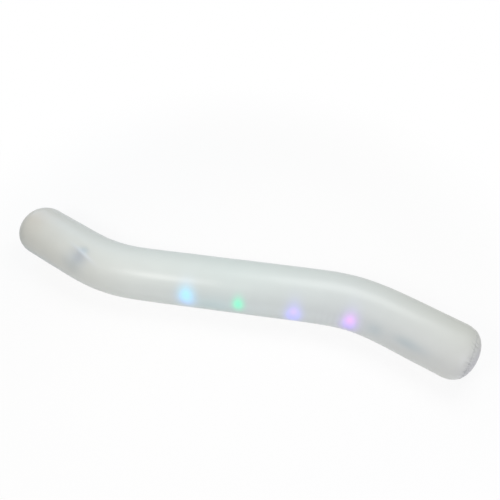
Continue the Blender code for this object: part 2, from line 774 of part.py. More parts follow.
def build_valve(valve):
    stem_radius = stem_bore_radius + stem_wall
    collar_bore = stem_radius + gap
    collar_radius = collar_bore + collar_wall
    flange = add_object("valve_flange", rod_mesh("valve_flange", valve_flange_radius,
                                                 (-collar_reach, collar_reach), 2 * valve_sides),
                        valve_vinyl, valve)
    reach = (-2 * valve_flange_radius, 2 * valve_flange_radius)
    tilt = (0, math.pi / 2, 0)
    outer = rod_mesh("flange_outer", tube_radius + gap + valve_flange_thickness, reach, 2 * sleeve_sides)
    combine(flange, add_object("flange_outer", outer, parent=valve, location=(0, 0, -tube_radius),
                               rotation=tilt), "INTERSECT")
    inner = rod_mesh("flange_inner", tube_radius + gap, reach, 2 * sleeve_sides)
    combine(flange, add_object("flange_inner", inner, parent=valve, location=(0, 0, -tube_radius),
                               rotation=tilt))
    collar = rod_mesh("collar", collar_radius, (-collar_reach, collar_top), valve_sides)
    combine(flange, add_object("collar", collar, parent=valve), "UNION")
    bore = rod_mesh("collar_bore", collar_bore, (-collar_reach - cut_overrun, collar_top + cut_overrun),
                    valve_sides)
    combine(flange, add_object("collar_bore", bore, parent=valve))

    rim_bottom = collar_top + gap
    rim_top = rim_bottom + stem_rim_thickness
    profile = [(stem_bore_radius, rim_top), (stem_rim_radius, rim_top), (stem_rim_radius, rim_bottom),
               (stem_radius, rim_bottom), (stem_radius, -stem_reach), (stem_bore_radius, -stem_reach)]
    stem = add_object("valve_stem", turned_mesh("valve_stem", profile, closed=True), valve_vinyl, valve)
    turn(stem, valve_sides)

    flap = rod_mesh("check_flap", flap_radius, (-flap_thickness, 0), valve_sides)
    bm = bmesh.new()
    bm.from_mesh(flap)
    bmesh.ops.translate(bm, vec=(flap_radius, 0, 0), verts=bm.verts)
    bm.to_mesh(flap)
    bm.free()
    add_object("check_flap", flap, valve_vinyl, valve, (-flap_radius, 0, -stem_reach - gap))

    head_bottom = rim_top + gap
    head_top = head_bottom + plug_head_thickness
    shaft_radius = stem_bore_radius - gap
    shaft_end = head_bottom - plug_reach
    profile = [(0, head_top), (plug_head_radius, head_top), (plug_head_radius, head_bottom),
               (shaft_radius, head_bottom), (shaft_radius, shaft_end + plug_taper),
               (shaft_radius - plug_taper, shaft_end), (0, shaft_end)]
    turn(add_object("valve_plug", turned_mesh("valve_plug", profile), valve_vinyl, valve), valve_sides)

    # The strap leaves the rim's side, turns back and ends at the side of the plug's head
    low = (rim_bottom + rim_top) / 2
    high = (head_bottom + head_top) / 2
    loop_radius = (high - low) / 2
    loop_x = stem_rim_radius + gap + strap_loop
    path = [(stem_rim_radius + gap, low), (stem_rim_radius + gap + strap_loop / 2, low)]
    for step in range(strap_steps + 1):
        angle = math.pi * step / strap_steps - math.pi / 2
        path.append((loop_x + loop_radius * math.cos(angle),
                     (low + high) / 2 + loop_radius * math.sin(angle)))
    path.append((plug_head_radius + gap, high))

    def place(row, column):
        x, z = path[row]
        return Vector((x, (column - 0.5) * strap_width, z))

    mesh = film_mesh("plug_strap", len(path), 2, place)
    thicken(add_object("plug_strap", mesh, valve_vinyl, valve), strap_thickness, offset=0)


unit_holder = add_holder("battery_unit", film_frame(unit_place, unit_angle))
valve_holder = add_holder("air_valve", film_frame(valve_place, valve_angle))
build_air_tube(unit_holder, valve_holder)
build_channel()
build_light_string()
build_case(unit_holder)
build_cells(unit_holder)
build_controls(unit_holder)
build_valve(valve_holder)
bpy.context.view_layer.update()
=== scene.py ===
from functools import partial
from math import atan2, cos, hypot, pi, radians, sin, sqrt

import bmesh
import bpy
import numpy as np
from mathutils import Matrix, Vector


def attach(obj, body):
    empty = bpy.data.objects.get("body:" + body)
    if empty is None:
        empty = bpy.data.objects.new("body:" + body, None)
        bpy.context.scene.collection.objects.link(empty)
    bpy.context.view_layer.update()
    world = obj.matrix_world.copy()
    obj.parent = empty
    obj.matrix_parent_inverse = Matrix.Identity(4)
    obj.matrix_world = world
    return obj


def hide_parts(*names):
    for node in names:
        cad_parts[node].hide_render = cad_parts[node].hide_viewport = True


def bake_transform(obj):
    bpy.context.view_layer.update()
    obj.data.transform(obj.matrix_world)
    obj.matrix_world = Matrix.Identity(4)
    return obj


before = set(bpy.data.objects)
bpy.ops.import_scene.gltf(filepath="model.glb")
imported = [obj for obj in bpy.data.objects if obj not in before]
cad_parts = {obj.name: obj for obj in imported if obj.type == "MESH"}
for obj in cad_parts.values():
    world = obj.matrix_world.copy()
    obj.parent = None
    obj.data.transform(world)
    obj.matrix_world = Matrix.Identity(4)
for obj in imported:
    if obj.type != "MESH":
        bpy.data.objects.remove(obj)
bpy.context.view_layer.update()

scene = bpy.context.scene
scene.view_settings.view_transform = "Standard"
mm = 0.001


def addObject(name, data):
    made = bpy.data.objects.new(name, data)
    scene.collection.objects.link(made)
    return made


def aim(made, target, azimuth, elevation, distance):
    # Sets a camera or lamp up to face its target. Azimuth 0 is the front
    turn, rise = radians(azimuth), radians(elevation)
    back = Vector((sin(turn) * cos(rise), -cos(turn) * cos(rise), sin(rise)))
    made.location = Vector(target) + back * distance
    made.rotation_euler = (-back).to_track_quat("-Z", "Y").to_euler()


# Camera: above and in front of the noodle, with the photograph's wide lens
view = {
    "place": ((0.0363, 0.1248, 0.0729), 8.407, 53.63, 1.2385),  # target, azimuth, elevation, distance
    "lens": 30.95, "sensor": 36,  # mm
    "clipStart": 0.01,
}
camera = addObject("photoCamera", bpy.data.cameras.new("photoCamera"))
aim(camera, *view["place"])
camera.data.lens = view["lens"]
camera.data.sensor_width = view["sensor"]
camera.data.clip_start = view["clipStart"]
scene.camera = camera
print("camera: placed")


# Materials: small helpers
def linear(hexColour):
    # sRGB hex to linear RGBA
    parts = [int(hexColour[i:i + 2], 16) / 255 for i in (0, 2, 4)]
    return tuple(c / 12.92 if c <= 0.04045 else ((c + 0.055) / 1.055) ** 2.4 for c in parts) + (1.0,)


def addNode(tree, kind, inputs=(), **settings):
    # Inputs go in the node's own order or by name. A node given as one stands for its main output
    node = tree.nodes.new("ShaderNode" + kind)
    for name, value in settings.items():
        setattr(node, name, value)
    inUse = [socket for socket in node.inputs if socket.enabled]
    for key, value in inputs.items() if isinstance(inputs, dict) else enumerate(inputs):
        socket = inUse[key] if isinstance(key, int) else node.inputs[key]
        if isinstance(value, bpy.types.Node):
            value = next(output for output in value.outputs if output.enabled)
        if isinstance(value, bpy.types.NodeSocket):
            tree.links.new(value, socket)
        else:
            socket.default_value = value
    return node


def startNodes(owner):
    # Empties the nodes of a material or world, and gives the function that adds to them
    owner.use_nodes = True
    owner.node_tree.nodes.clear()
    return partial(addNode, owner.node_tree)


def startMaterial(name):
    # The material, what adds its nodes, and the place that its patterns go by
    material = bpy.data.materials.new(name)
    add = startNodes(material)
    return material, add, add("TexCoord").outputs["Object"]


def endMaterial(add, bump, sockets):
    # bump is a height, its strength and its depth in mm
    if bump:
        height, strength, depth = bump
        sockets["Normal"] = add("Bump", {"Height": height, "Strength": strength, "Distance": depth * mm})
    add("OutputMaterial", [add("BsdfPrincipled", sockets)])


def fillRamp(node, stops, interpolation="LINEAR"):
    ramp = node.color_ramp
    ramp.interpolation = interpolation
    ramp.elements.remove(ramp.elements[1])
    ramp.elements[0].color = stops[0][1]
    for stop, colour in stops[1:]:
        ramp.elements.new(stop).color = colour


def inFrame(matrix, size=(1, 1, 1)):
    # What maps a position to a piece's own frame, in millimetres or in parts of the given size
    return matrix.translation, matrix.to_euler(), Vector(size) * mm


mixed = {"data_type": "RGBA"}
multiplied = {"data_type": "RGBA", "blend_type": "MULTIPLY"}
finishes = {}  # material of each slot of the record

# The tube's shape, as in the CAD source
film = {
    "radius": 0.0725, "thickness": 0.3 * mm, "cadSides": 28,
    "middleLength": 0.676, "legLength": 0.311,
    "bendAngle": radians(23.7), "bendReach": 0.159,
    "endLength": 0.057, "endPower": 2.41, "lapReach": 3.5 * mm,
    "fill": 0.95,  # tight with air
    "around": 342,  # points round the tube
    # The rows stand closer by the crease, the lead's hole and the valve's hole
    "creaseRun": (-0.44, -0.33), "leadRun": (-0.172, -0.149), "valveRun": (0.115, 0.145),
    "runCounts": (14, 14, 50, 38, 3, 18, 30, 24, 6, 76, 14),
}
tubeRadius = film["radius"]
bendPlace = film["middleLength"] / 2
halfLength = bendPlace + film["legLength"]
axisHeight = tubeRadius * cos(pi / film["cadSides"])
endExponent = 2 / film["endPower"]
planS = np.linspace(-halfLength, halfLength, 2601)


def turnShare(reach):
    reach = np.clip(reach, -1, 1)
    return (1 + reach) / 2 + np.sin(pi * reach) / (2 * pi)


def heading(s):
    left, right = (turnShare((s + place) / film["bendReach"]) for place in (bendPlace, -bendPlace))
    return film["bendAngle"] * (left - 1 - right)


def runningSum(values):
    steps = (values[1:] + values[:-1]) / 2 * (planS[1] - planS[0])
    total = np.concatenate(([0], np.cumsum(steps)))
    return total - total[len(planS) // 2]


planX = runningSum(np.cos(heading(planS)))
planY = runningSum(np.sin(heading(planS)))


def directions(s, angle):
    # Along the tube, and straight out of it. Angle 0 is the front, 90 degrees the top
    turn = heading(s)
    out = np.stack([np.sin(turn) * np.cos(angle), -np.cos(turn) * np.cos(angle), np.sin(angle)], -1)
    return np.stack([np.cos(turn), np.sin(turn), 0 * turn], -1), out


def tubePoint(s, angle, radius, tilt=0.0, lift=0.0):
    # The film's normal leans by tilt along the tube, and lift goes along that normal
    s, angle, radius, tilt, lift = np.broadcast_arrays(s, angle, radius, tilt, lift)
    along, out = directions(s, angle)
    centre = np.stack([np.interp(s, planS, planX), np.interp(s, planS, planY), axisHeight + 0 * s], -1)
    normal = out * np.cos(tilt)[..., None] + along * np.sin(tilt)[..., None]
    return centre + out * radius[..., None] + normal * lift[..., None]


def filmFrame(s, angle, depth=0.0):
    # Matrix of a piece that sits on the film: +Z out of the tube, +X along it
    along, up = (Vector(way) for way in directions(s, angle))
    matrix = Matrix((along, up.cross(along), up)).transposed().to_4x4()
    matrix.translation = Vector(tubePoint(s, angle, tubeRadius - depth))
    return matrix


# What the air, the welds and handling do to the film
relief = {
    "swell": 0.25 * mm,  # long soft unevenness of blown film
    "bendRipple": 0.45 * mm,  # folds pressed together inside the bends
    "bendRipplePitch": 17 * mm,
    # Middle, inner side and seed of each bend: the left one folds at the back, the right in front
    "bends": ((-bendPlace, pi, 0.4), (bendPlace, 0, 2.2)),
    "puckerCount": 36,  # gathers round each ring seam
    "puckerDepth": 6 * mm, "puckerReach": 19 * mm,
    "discPucker": 1.4,  # the discs gather more than the sleeve
    "puckerSeeds": (1.3, 4.1),  # left end, right end
    "weldWidth": 3.2 * mm, "weldSink": 0.1 * mm,
    # A blown end sets askew: the ring seam's way from the tip, how far it leans and towards where
    "seams": {-1: (22 * mm, 8 * mm, radians(244)), 1: (22.5 * mm, 7 * mm, radians(145))},
    "lapAngle": radians(243),  # lengthwise weld, low at the back
    "lapWidth": 7 * mm, "lapRise": 0.3 * mm,
}


def endProfile(turn):
    # Radius and distance from the tip of a rounded end. The tip is at turn 0
    return (tubeRadius * np.sin(turn) ** endExponent,
            film["endLength"] * (1 - np.abs(np.cos(turn)) ** endExponent))


def seamLine(side, angle):
    # Where on the rounded end the ring seam runs
    fromTip, lean, towards = relief["seams"][side]
    distance = fromTip + lean * np.cos(angle - towards)
    return np.arccos((1 - distance / film["endLength"]) ** (1 / endExponent))


def endTable(turns, seam):
    # Radius, distance from the tip, lean of the normal and way from the seam
    radius, distance = endProfile(turns)
    between = endProfile(np.linspace(np.broadcast_to(seam, turns.shape), turns, 40))
    way = np.hypot(np.diff(between[0], axis=0), np.diff(between[1], axis=0)).sum(0)
    step = 1e-4
    ahead, behind = endProfile(turns + step), endProfile(turns - step)
    return radius, distance, np.arctan2(ahead[0] - behind[0], ahead[1] - behind[1]), way


def softWave(angle, seed):
    # Strength, waves round the tube and shift of each part
    return sum(strength * np.sin(waves * angle + shift * seed) for strength, waves, shift in (
        (0.55, 3, 1), (0.45, 5, 2.3), (0.4, 9, 3.1), (0.3, 14, 0.7)))


def puckers(angle, way, seed):
    # Sharp valleys between round gathers, uneven round the ring, fading away from the weld
    turn = relief["puckerCount"] * angle / 2
    wide = np.abs(np.sin(turn + 1.3 * softWave(angle, seed))) ** 0.75
    fine = np.abs(np.sin(2 * turn + 1.7 * softWave(angle, seed + 3))) ** 0.75
    strength = 0.8 + 0.35 * softWave(2 * angle, seed + 1)
    reach = relief["puckerReach"] * (0.75 + 0.3 * softWave(3 * angle, seed + 2))
    fade = np.clip(1 - way / np.maximum(reach, 6 * mm), 0, 1) ** 1.5
    start = np.clip(0.5 + way / (5 * mm), 0, 1)
    weld = relief["weldSink"] * np.exp(-(way / (relief["weldWidth"] / 2)) ** 4)
    gather = 0.62 * wide + 0.38 * fine * np.exp(-way / (7 * mm)) - 0.72
    return relief["puckerDepth"] * strength * np.clip(gather, -0.72, 0.2) * fade * start - weld


def aroundFrom(angle, turn):
    # Way round the tube from the given turn, in metres
    return (np.mod(angle - turn + pi, 2 * pi) - pi) * tubeRadius


def blob(s, angle, place, turn, reach, spread, slant=0.0):
    # A round bump of height 1, reach long and spread wide, slanted on the film
    x, y = s - place, aroundFrom(angle, turn)
    u = x * cos(slant) + y * sin(slant)
    v = y * cos(slant) - x * sin(slant)
    return np.exp(-(u / reach) ** 2 - (v / spread) ** 2)


# The crease in the left bend: a raised fold with a hollow on each side
crease = {
    "start": (-0.431, radians(77.5)),
    "end": (-0.36, radians(61.5)),
    "ridge": 1.6 * mm, "ridgeWidth": 5 * mm,
    # Place, turn, reach, spread and lift of each hollow
    "hollows": (
        (-0.4005, radians(57), 30 * mm, 18 * mm, -3.6 * mm),
        (-0.392, radians(79), 16 * mm, 8.5 * mm, -2.4 * mm),
        (-0.413, radians(35), 13 * mm, 30 * mm, -2 * mm)),
}


def creaseLift(s, angle):
    (s0, a0), (s1, a1) = crease["start"], crease["end"]
    length = hypot(s1 - s0, (a1 - a0) * tubeRadius)
    slant = atan2((a1 - a0) * tubeRadius, s1 - s0)
    total = crease["ridge"] * blob(s, angle, (s0 + s1) / 2, (a0 + a1) / 2,
                                   length * 0.45, crease["ridgeWidth"], slant)
    for *hollow, lift in crease["hollows"]:
        total = total + lift * blob(s, angle, *hollow, slant)
    return total


def pressed(off, width, edge):
    # 1 inside a band of the given width, with soft edges
    return np.clip((width / 2 - np.abs(off)) / edge + 0.5, 0, 1)


def lapShare(angle, edge):
    # 1 on the lengthwise lap, which stands up a little
    return pressed(aroundFrom(angle, relief["lapAngle"]), relief["lapWidth"], edge)


def filmLift(s, angle, way):
    # Three slow waves along and round the tube, and what the welds, bends and crease add
    swell = (np.sin(31 * s + 2 * angle) * 0.5 + np.sin(47 * s - 3 * angle + 1) * 0.3
             + np.sin(83 * s + angle + 2) * 0.2)
    lift = relief["swell"] * swell * np.clip(way / (20 * mm), 0, 1)
    for place, inner, seed in relief["bends"]:
        side = np.clip((np.cos(angle - inner) - 0.35) / 0.65, 0, 1) ** 1.5
        share = np.clip(1 - np.abs((s - place) / (film["bendReach"] * 0.8)), 0, 1) ** 0.7
        wander = 0.9 * np.sin(2 * angle + seed) + 0.5 * np.sin(21 * s + seed)
        lift = lift + relief["bendRipple"] * side * share * np.sin(
            2 * pi * (s - place) / relief["bendRipplePitch"] + wander)
    lift = lift + creaseLift(s, angle) + puckers(angle, way, np.where(s < 0, *relief["puckerSeeds"]))
    return lift + relief["lapRise"] * lapShare(angle, 0.6 * mm)


def weldShare(s, angle, way):
    # Where the film is pressed by a hot bar, from 0 to 1
    ring = pressed(way, relief["weldWidth"], 0.5 * mm)
    return np.maximum(ring + 0 * angle, lapShare(angle, 0.5 * mm) + 0 * s)


def gridObject(name, points, weld, closedAround=True, cap=None):
    # Film through rows of points, which lies flat on the floor. cap closes the last row
    points[..., 2] = np.maximum(points[..., 2], 0)
    rows, columns = points.shape[:2]
    vertices = points.reshape(-1, 3).tolist()
    grid = np.arange(rows * columns).reshape(rows, columns)
    beside = np.roll(grid, -1, axis=1)
    quads = np.stack([grid[:-1], beside[:-1], beside[1:], grid[1:]], -1)
    faces = (quads if closedAround else quads[:, :-1]).reshape(-1, 4).tolist()
    if cap is not None:
        faces += [(*pair, len(vertices)) for pair in zip(grid[-1].tolist(), beside[-1].tolist())]
        vertices.append(cap.tolist())
    mesh = bpy.data.meshes.new(name)
    mesh.from_pydata(vertices, [], faces)
    shares = np.append(weld.reshape(-1), [0.0] * (cap is not None)).astype(np.float32)
    mesh.attributes.new("weld", "FLOAT", "POINT").data.foreach_set("value", shares)
    made = addObject(name, mesh)
    mesh.shade_smooth()
    return made


def turnOutward(made, inside):
    # Makes the faces look away from the given point
    bm = bmesh.new()
    bm.from_mesh(made.data)
    bmesh.ops.recalc_face_normals(bm, faces=bm.faces)
    face = max(bm.faces, key=lambda f: f.calc_area())
    if (face.calc_center_median() - Vector(inside)).dot(face.normal) < 0:
        bmesh.ops.reverse_faces(bm, faces=bm.faces)
    bm.to_mesh(made.data)
    bm.free()


def giveThickness(made, thickness):
    shell = made.modifiers.new("filmThickness", "SOLIDIFY")
    shell.thickness = thickness
    shell.offset = -1
    shell.use_even_offset = False


# Angles of the film's points, with extra ones at the steps of the lengthwise lap
filmAngles = np.sort(np.concatenate((
    np.linspace(0, 2 * pi, film["around"], endpoint=False),
    [relief["lapAngle"] + side * (relief["lapWidth"] / 2 + edge) / tubeRadius
     for side in (-1, 1) for edge in (-0.3 * mm, 0.3 * mm)])))[None, :]


def buildSleeve():
    start = halfLength - film["endLength"]
    bendStart, bendEnd = bendPlace + film["bendReach"], bendPlace - film["bendReach"]
    stops = (-start, -bendStart, *film["creaseRun"], -bendEnd, *film["leadRun"], *film["valveRun"],
             bendEnd, bendStart, start)
    straight = np.concatenate([np.linspace(low, high, count)[1:]
                               for low, high, count in zip(stops, stops[1:], film["runCounts"])])
    straight = straight[:-1, None] + 0 * filmAngles
    rows = []
    for side in (-1, 1):
        seam = seamLine(side, filmAngles)
        turns = np.linspace(seam, np.full_like(seam, pi / 2 - 1e-3), 32)[:, 0]
        radius, distance, lean, way = endTable(turns, seam)
        rows.append([column[::-side] for column in (
            side * (halfLength - distance), radius, side * (pi / 2 - lean), way)])
    far = start - np.abs(straight) + rows[0][3].max()
    rows.insert(1, [straight, np.full_like(straight, tubeRadius), 0 * straight, far])
    s, radius, lean, way = [np.concatenate(columns) for columns in zip(*rows)]
    points = tubePoint(s, filmAngles, radius, lean, filmLift(s, filmAngles, way))
    made = gridObject("frostedSleeve", points, weldShare(s, filmAngles, way))
    turnOutward(made, (0, 0, axisHeight))
    return made


def buildEndDisc(name, side):
    # The disc runs on under the sleeve's edge, where the two are welded
    seam = seamLine(side, filmAngles)
    tuck = np.linspace(seam + film["lapReach"] / tubeRadius * 1.4, seam, 6)[:-1, 0]
    dome = np.linspace(seam, np.full_like(seam, radians(3)), 36)[:, 0]
    under = np.clip(np.concatenate((np.ones(len(tuck)), 1 - np.arange(len(dome)) / 4)), 0, 1)
    radius, distance, lean, way = endTable(np.concatenate((tuck, dome)), seam)
    lift = (relief["discPucker"] * puckers(filmAngles, way, relief["puckerSeeds"][side > 0])
            - (1.2 * film["thickness"] * under)[:, None])
    points = tubePoint(side * (halfLength - distance), filmAngles, radius, side * (pi / 2 - lean), lift)
    made = gridObject(name, points, weldShare(halfLength, pi, way),
                      cap=tubePoint(side * halfLength, 0.0, 0.0))
    turnOutward(made, tubePoint(side * (halfLength - film["endLength"]), 0.0, 0.0))
    return made


def dropHole(made, place, radius, depth=15 * mm):
    # Opens the film where the valve or the lead passes through it
    toLocal = place.inverted()
    bm = bmesh.new()
    bm.from_mesh(made.data)
    local = {v: toLocal @ v.co for v in bm.verts}
    away = [f for f in bm.faces if all(abs(local[v].z) < depth for v in f.verts)
            and sum((local[v].xy for v in f.verts), Vector((0, 0))).length / len(f.verts) < radius]
    bmesh.ops.delete(bm, geom=away, context="FACES")
    for v in bm.verts:
        if v.is_boundary and local[v].xy.length < radius * 1.6 and abs(local[v].z) < depth:
            flat = local[v].xy.normalized() * radius
            v.co = place @ Vector((*flat, sqrt(tubeRadius ** 2 - flat.y ** 2) - tubeRadius))
    bm.to_mesh(made.data)
    bm.free()


# Where the battery unit and the air valve sit. The lead goes in through a hole under the button.
# X and radii are in millimetres
mounts = {
    "unit": (-0.134, radians(205)), "buttonX": -26.35, "leadHole": 4.3,
    "valve": (0.13, radians(200)), "valveHole": 8.8,
}
unitFrame = filmFrame(*mounts["unit"])
valveFrame = filmFrame(*mounts["valve"])
buttonMiddle = (mounts["buttonX"], 0)

sleeve = buildSleeve()
filmPieces = ((sleeve, "sleeve_film"), (buildEndDisc("endDiscLeft", -1), "end_disc_left"),
              (buildEndDisc("endDiscRight", 1), "end_disc_right"))
dropHole(sleeve, unitFrame @ Matrix.Translation((mounts["buttonX"] * mm, 0, 0)), mounts["leadHole"] * mm)
dropHole(sleeve, valveFrame, mounts["valveHole"] * mm)
print("film: sleeve and discs built")

# The light string, as in the CAD source
lightString = {
    "placeShares": (-0.159, 0.052, 0.273, 0.511, 0.762),  # of half the length, from the middle
    "spliceShare": 0.624, "lowShare": 0.231,
    "lowAngle": radians(17.5), "riseLeft": radians(10), "riseRight": radians(8.5),
}
podPlaces = [share * halfLength for share in lightString["placeShares"]]
splicePlace = lightString["spliceShare"] * halfLength


def lightAngle(s):
    # The string lies lowest near the third pod
    low = lightString["lowShare"] * halfLength
    end, rise = ((podPlaces[0], lightString["riseLeft"]) if s < low
                 else (podPlaces[-1], lightString["riseRight"]))
    return lightString["lowAngle"] + rise * ((s - low) / (end - low)) ** 2


# The film's look. Sizes and depth are in mm
frosting = {
    "ends": (-0.64, 0.64),  # in metres: where its colours start and end
    # Colours along the tube, left to right: partly the film's tint, partly painted light and shade that evens
    # out how the lamps fall along it
    "tones": ((0, "D5D8D0"), (0.12, "D6D9D2"), (0.3, "D6DCD7"), (0.5, "D1DAD6"), (0.75, "CFD5D2"),
              (1, "D0D2CA")),
    "cloudSize": 55, "cloudTone": (0.99, 1.01), "roughness": (0.29, 0.35),
    "grainSize": 1.2, "reliefDepth": 0.3, "relief": (0.12, 0.5),  # off the weld and on it
    "weldTint": "F5F6F6",
}
# Painted glow on the film where each lit pod shines through it, with a painted tint of its light: the tint,
# then colour, strength, reach along the tube and round it, and drop below the pod, of the wide halo and of
# the core
glows = (
    ("E6FFFF", ("2896FF", 0.52, 22, 31, 9), ("7CFF9C", 0.15, 18.5, 21, 0.5)),
    ("C4FFFF", ("14FF8C", 0.06, 15.5, 23, 4), ("00FF6E", 0.33, 14, 20.5, 0.5)),
    ("FCFBFF", ("3A20FF", 0.55, 20, 33, 12), ("FF8940", 0.16, 10.5, 13.5, -1)),
    ("FFF8FF", ("5A14FF", 0.5, 20, 31, 6), ("FF5A5A", 0.31, 15, 18, -3)),
)
# Painted shade on the film where the splice, the unlit pod and its lead lie behind it, by its rise above the
# string, and the pink light's painted tinge below that pod. Sizes are in mm, along the tube and round it
stringShades = (
    (splicePlace, 0, (21, 19), "F0F5F8"),
    (podPlaces[4] - 14 * mm, 3, (26, 14), "F2F6F8"),
    (podPlaces[4] + 12 * mm, 1, (36, 15), "F4F8FB"),
    (podPlaces[3], -30, (22, 16), "FFF3FF"),
)
# Painted shade and casts on the film, by their turn in degrees: hollows beside the crease, left end, right
# end, middle
filmShades = (
    # Painted shade in the hollows beside the crease
    (-0.3995, 58, (26, 20), "E8EBF4"), (-0.413, 37, (34, 30), "EFF2F6"), (-0.396, 76, (14, 10), "E8F0F7"),
    # Painted shade along the left end's lower edge and its rim
    (-0.52, -12, (140, 26), "E6EBF3"), (-0.625, 4, (34, 60), "E5E9EB"), (-0.625, -8, (60, 14), "DEE3E5"),
    # A warm cast on the left end's top, a lilac cast on the right end's disc, and the first two pods' painted
    # cyan light in the middle
    (-0.605, 94, (70, 50), "FFF8F3"), (0.645, 46, (15, 80), "F4F3FC"), (-0.035, 6, (75, 28), "F1FCFF"),
)
# Painted glow on the film between the lit pods, and a painted highlight along the crease's ridge
strayLight = {"spot": (0.1, radians(15), (330, 19)), "colour": "EEF5FF", "power": 0.055}
ridgeHighlight = {"spot": (-0.3915, radians(68.8), (41, 5.5), -0.25), "colour": "E2EAF3", "share": 0.4}


def spotShare(add, place, s, turn, size, slant=0.0):
    # 1 in the middle of a soft patch on the film, fading out round it
    patch = inFrame(filmFrame(s, turn) @ Matrix.Rotation(slant, 4, "Z"), (*size, 60))
    local = add("Mapping", [place, *patch], vector_type="TEXTURE")
    square = add("VectorMath", [local, local], operation="DOT_PRODUCT")
    fall = add("Math", [square, -1], operation="MULTIPLY")
    return add("Math", [fall], operation="EXPONENT")


def weldPrint(add, place):
    # Share of the hot-bar weld, and the bar's print in it: dimples 1.6 mm apart
    weld = add("Attribute", attribute_name="weld").outputs["Fac"]
    return weld, add("TexVoronoi", {"Vector": place, "Scale": 1 / (1.6 * mm)}, feature="F1")


def frostedPvc():
    # Calendered soft PVC, frosted by an embossing roll: milky, with a wide soft sheen
    material, add, place = startMaterial("frostedCalenderedPvc")
    # Colour along the tube: partly the film's tint, partly painted light and shade that evens out how the
    # lamps fall along it
    along = add("MapRange", [add("SeparateXYZ", [place]), *frosting["ends"]])
    cast = add("ValToRGB", [along])
    fillRamp(cast, [(stop, linear(tone)) for stop, tone in frosting["tones"]])
    # Uneven thickness shows as faint clouds a few centimetres wide
    cloud = add("TexNoise", [place, 1 / (frosting["cloudSize"] * mm), 2])
    cloudy = add("MapRange", [cloud, 0.3, 0.7, *frosting["cloudTone"]])
    colour = add("VectorMath", [cast, cloudy], operation="SCALE")

    # Painted shade where inner pieces lie behind the film, in the crease's hollows and on the lower edges,
    # with casts and painted tinges of light
    shades = [(s, lightAngle(s) + rise * mm / tubeRadius, size, tone) for s, rise, size, tone in stringShades]
    shades += [(s, radians(turn), size, tone) for s, turn, size, tone in filmShades]
    for *spot, tone in shades:
        colour = add("Mix", [spotShare(add, place, *spot), colour, linear(tone)], **multiplied)
    # Painted highlight along the crease's ridge
    ridge = add("Math", [spotShare(add, place, *ridgeHighlight["spot"]), ridgeHighlight["share"]], operation="MULTIPLY")
    colour = add("Mix", [ridge, colour, linear(ridgeHighlight["colour"])], **mixed)
    # Painted glow on the film between the lit pods
    stray = Vector(linear(strayLight["colour"])[:3]) * strayLight["power"]
    glow = add("VectorMath", [stray, spotShare(add, place, *strayLight["spot"])], operation="SCALE")
    # Painted glow of each lit pod on the film, a wide halo and a core, and its light's painted tint over the
    # core
    for s, (tint, *halves) in zip(podPlaces, glows):
        for hexColour, power, reach, spread, drop in halves:
            share = spotShare(add, place, s, lightAngle(s) - drop * mm / tubeRadius, (reach, spread))
            shine = add("VectorMath", [Vector(linear(hexColour)[:3]) * power, share], operation="SCALE")
            glow = add("VectorMath", [glow, shine], operation="ADD")
        colour = add("Mix", [share, colour, linear(tint)], **multiplied)

    # Embossed frosting, drawn coarser because the real 0.1 mm grain is too fine to show
    grain = add("TexNoise", [place, 1 / (frosting["grainSize"] * mm), 2])
    weld, dimples = weldPrint(add, place)
    height = add("Mix", [weld, grain, dimples], data_type="FLOAT")
    strength = add("MapRange", [weld, 0, 1, *frosting["relief"]])
    roughness = add("MapRange", [cloud, 0.3, 0.7, *frosting["roughness"]])
    # The pressed weld is clearer, so it lets more of the dark inside show
    colour = add("Mix", [weld, colour, linear(frosting["weldTint"])], **multiplied)
    endMaterial(add, (height, strength, frosting["reliefDepth"]), {
        "Base Color": colour, "Roughness": roughness, "IOR": 1.53, "Specular IOR Level": 0.22,
        "Emission Color": glow, "Emission Strength": 1})
    return material


def declare(made, node, slot, body="noodle"):
    # Gives a piece its finish and the body it moves with, and hides the CAD node it stands for
    made.data.materials.clear()
    made.data.materials.append(finishes[slot])
    if body:
        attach(made, body)
    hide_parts(node)


finishes["frosted_film"] = frostedPvc()
for made, node in filmPieces:
    giveThickness(made, film["thickness"])
    declare(made, node, "frosted_film")
print("film: frosted PVC finished")


# Building blocks for the small moulded pieces, in millimetres of the piece's own frame
def roundRing(radius, z, sides=64, middle=(0, 0)):
    return [(radius * cos(2 * pi * k / sides) + middle[0],
             radius * sin(2 * pi * k / sides) + middle[1], z) for k in range(sides)]


def wallLayers(low, high, lowEdge, highEdge):
    # (inset, height) pairs up a wall whose edges are rounded
    turns = [pi / 8 * step for step in range(5)]
    return ([(lowEdge * (1 - sin(t)), low + lowEdge * (1 - cos(t))) for t in turns]
            + [(highEdge * (1 - cos(t)), high - highEdge * (1 - sin(t))) for t in turns])


def ringSolid(name, rings, hollow=False):
    # A closed solid through rings of points. A hollow one joins its last ring to its first
    bm = bmesh.new()
    rows = [[bm.verts.new(Vector(point) * mm) for point in ring] for ring in rings]
    for low, high in list(zip(rows, rows[1:])) + ([(rows[-1], rows[0])] if hollow else []):
        for k in range(len(low)):
            beside = (k + 1) % len(low)
            bm.faces.new((low[k], low[beside], high[beside], high[k]))
    if not hollow:
        bm.faces.new(rows[0])
        bm.faces.new(rows[-1])
    bmesh.ops.recalc_face_normals(bm, faces=bm.faces)
    mesh = bpy.data.meshes.new(name)
    bm.to_mesh(mesh)
    bm.free()
    return addObject(name, mesh)


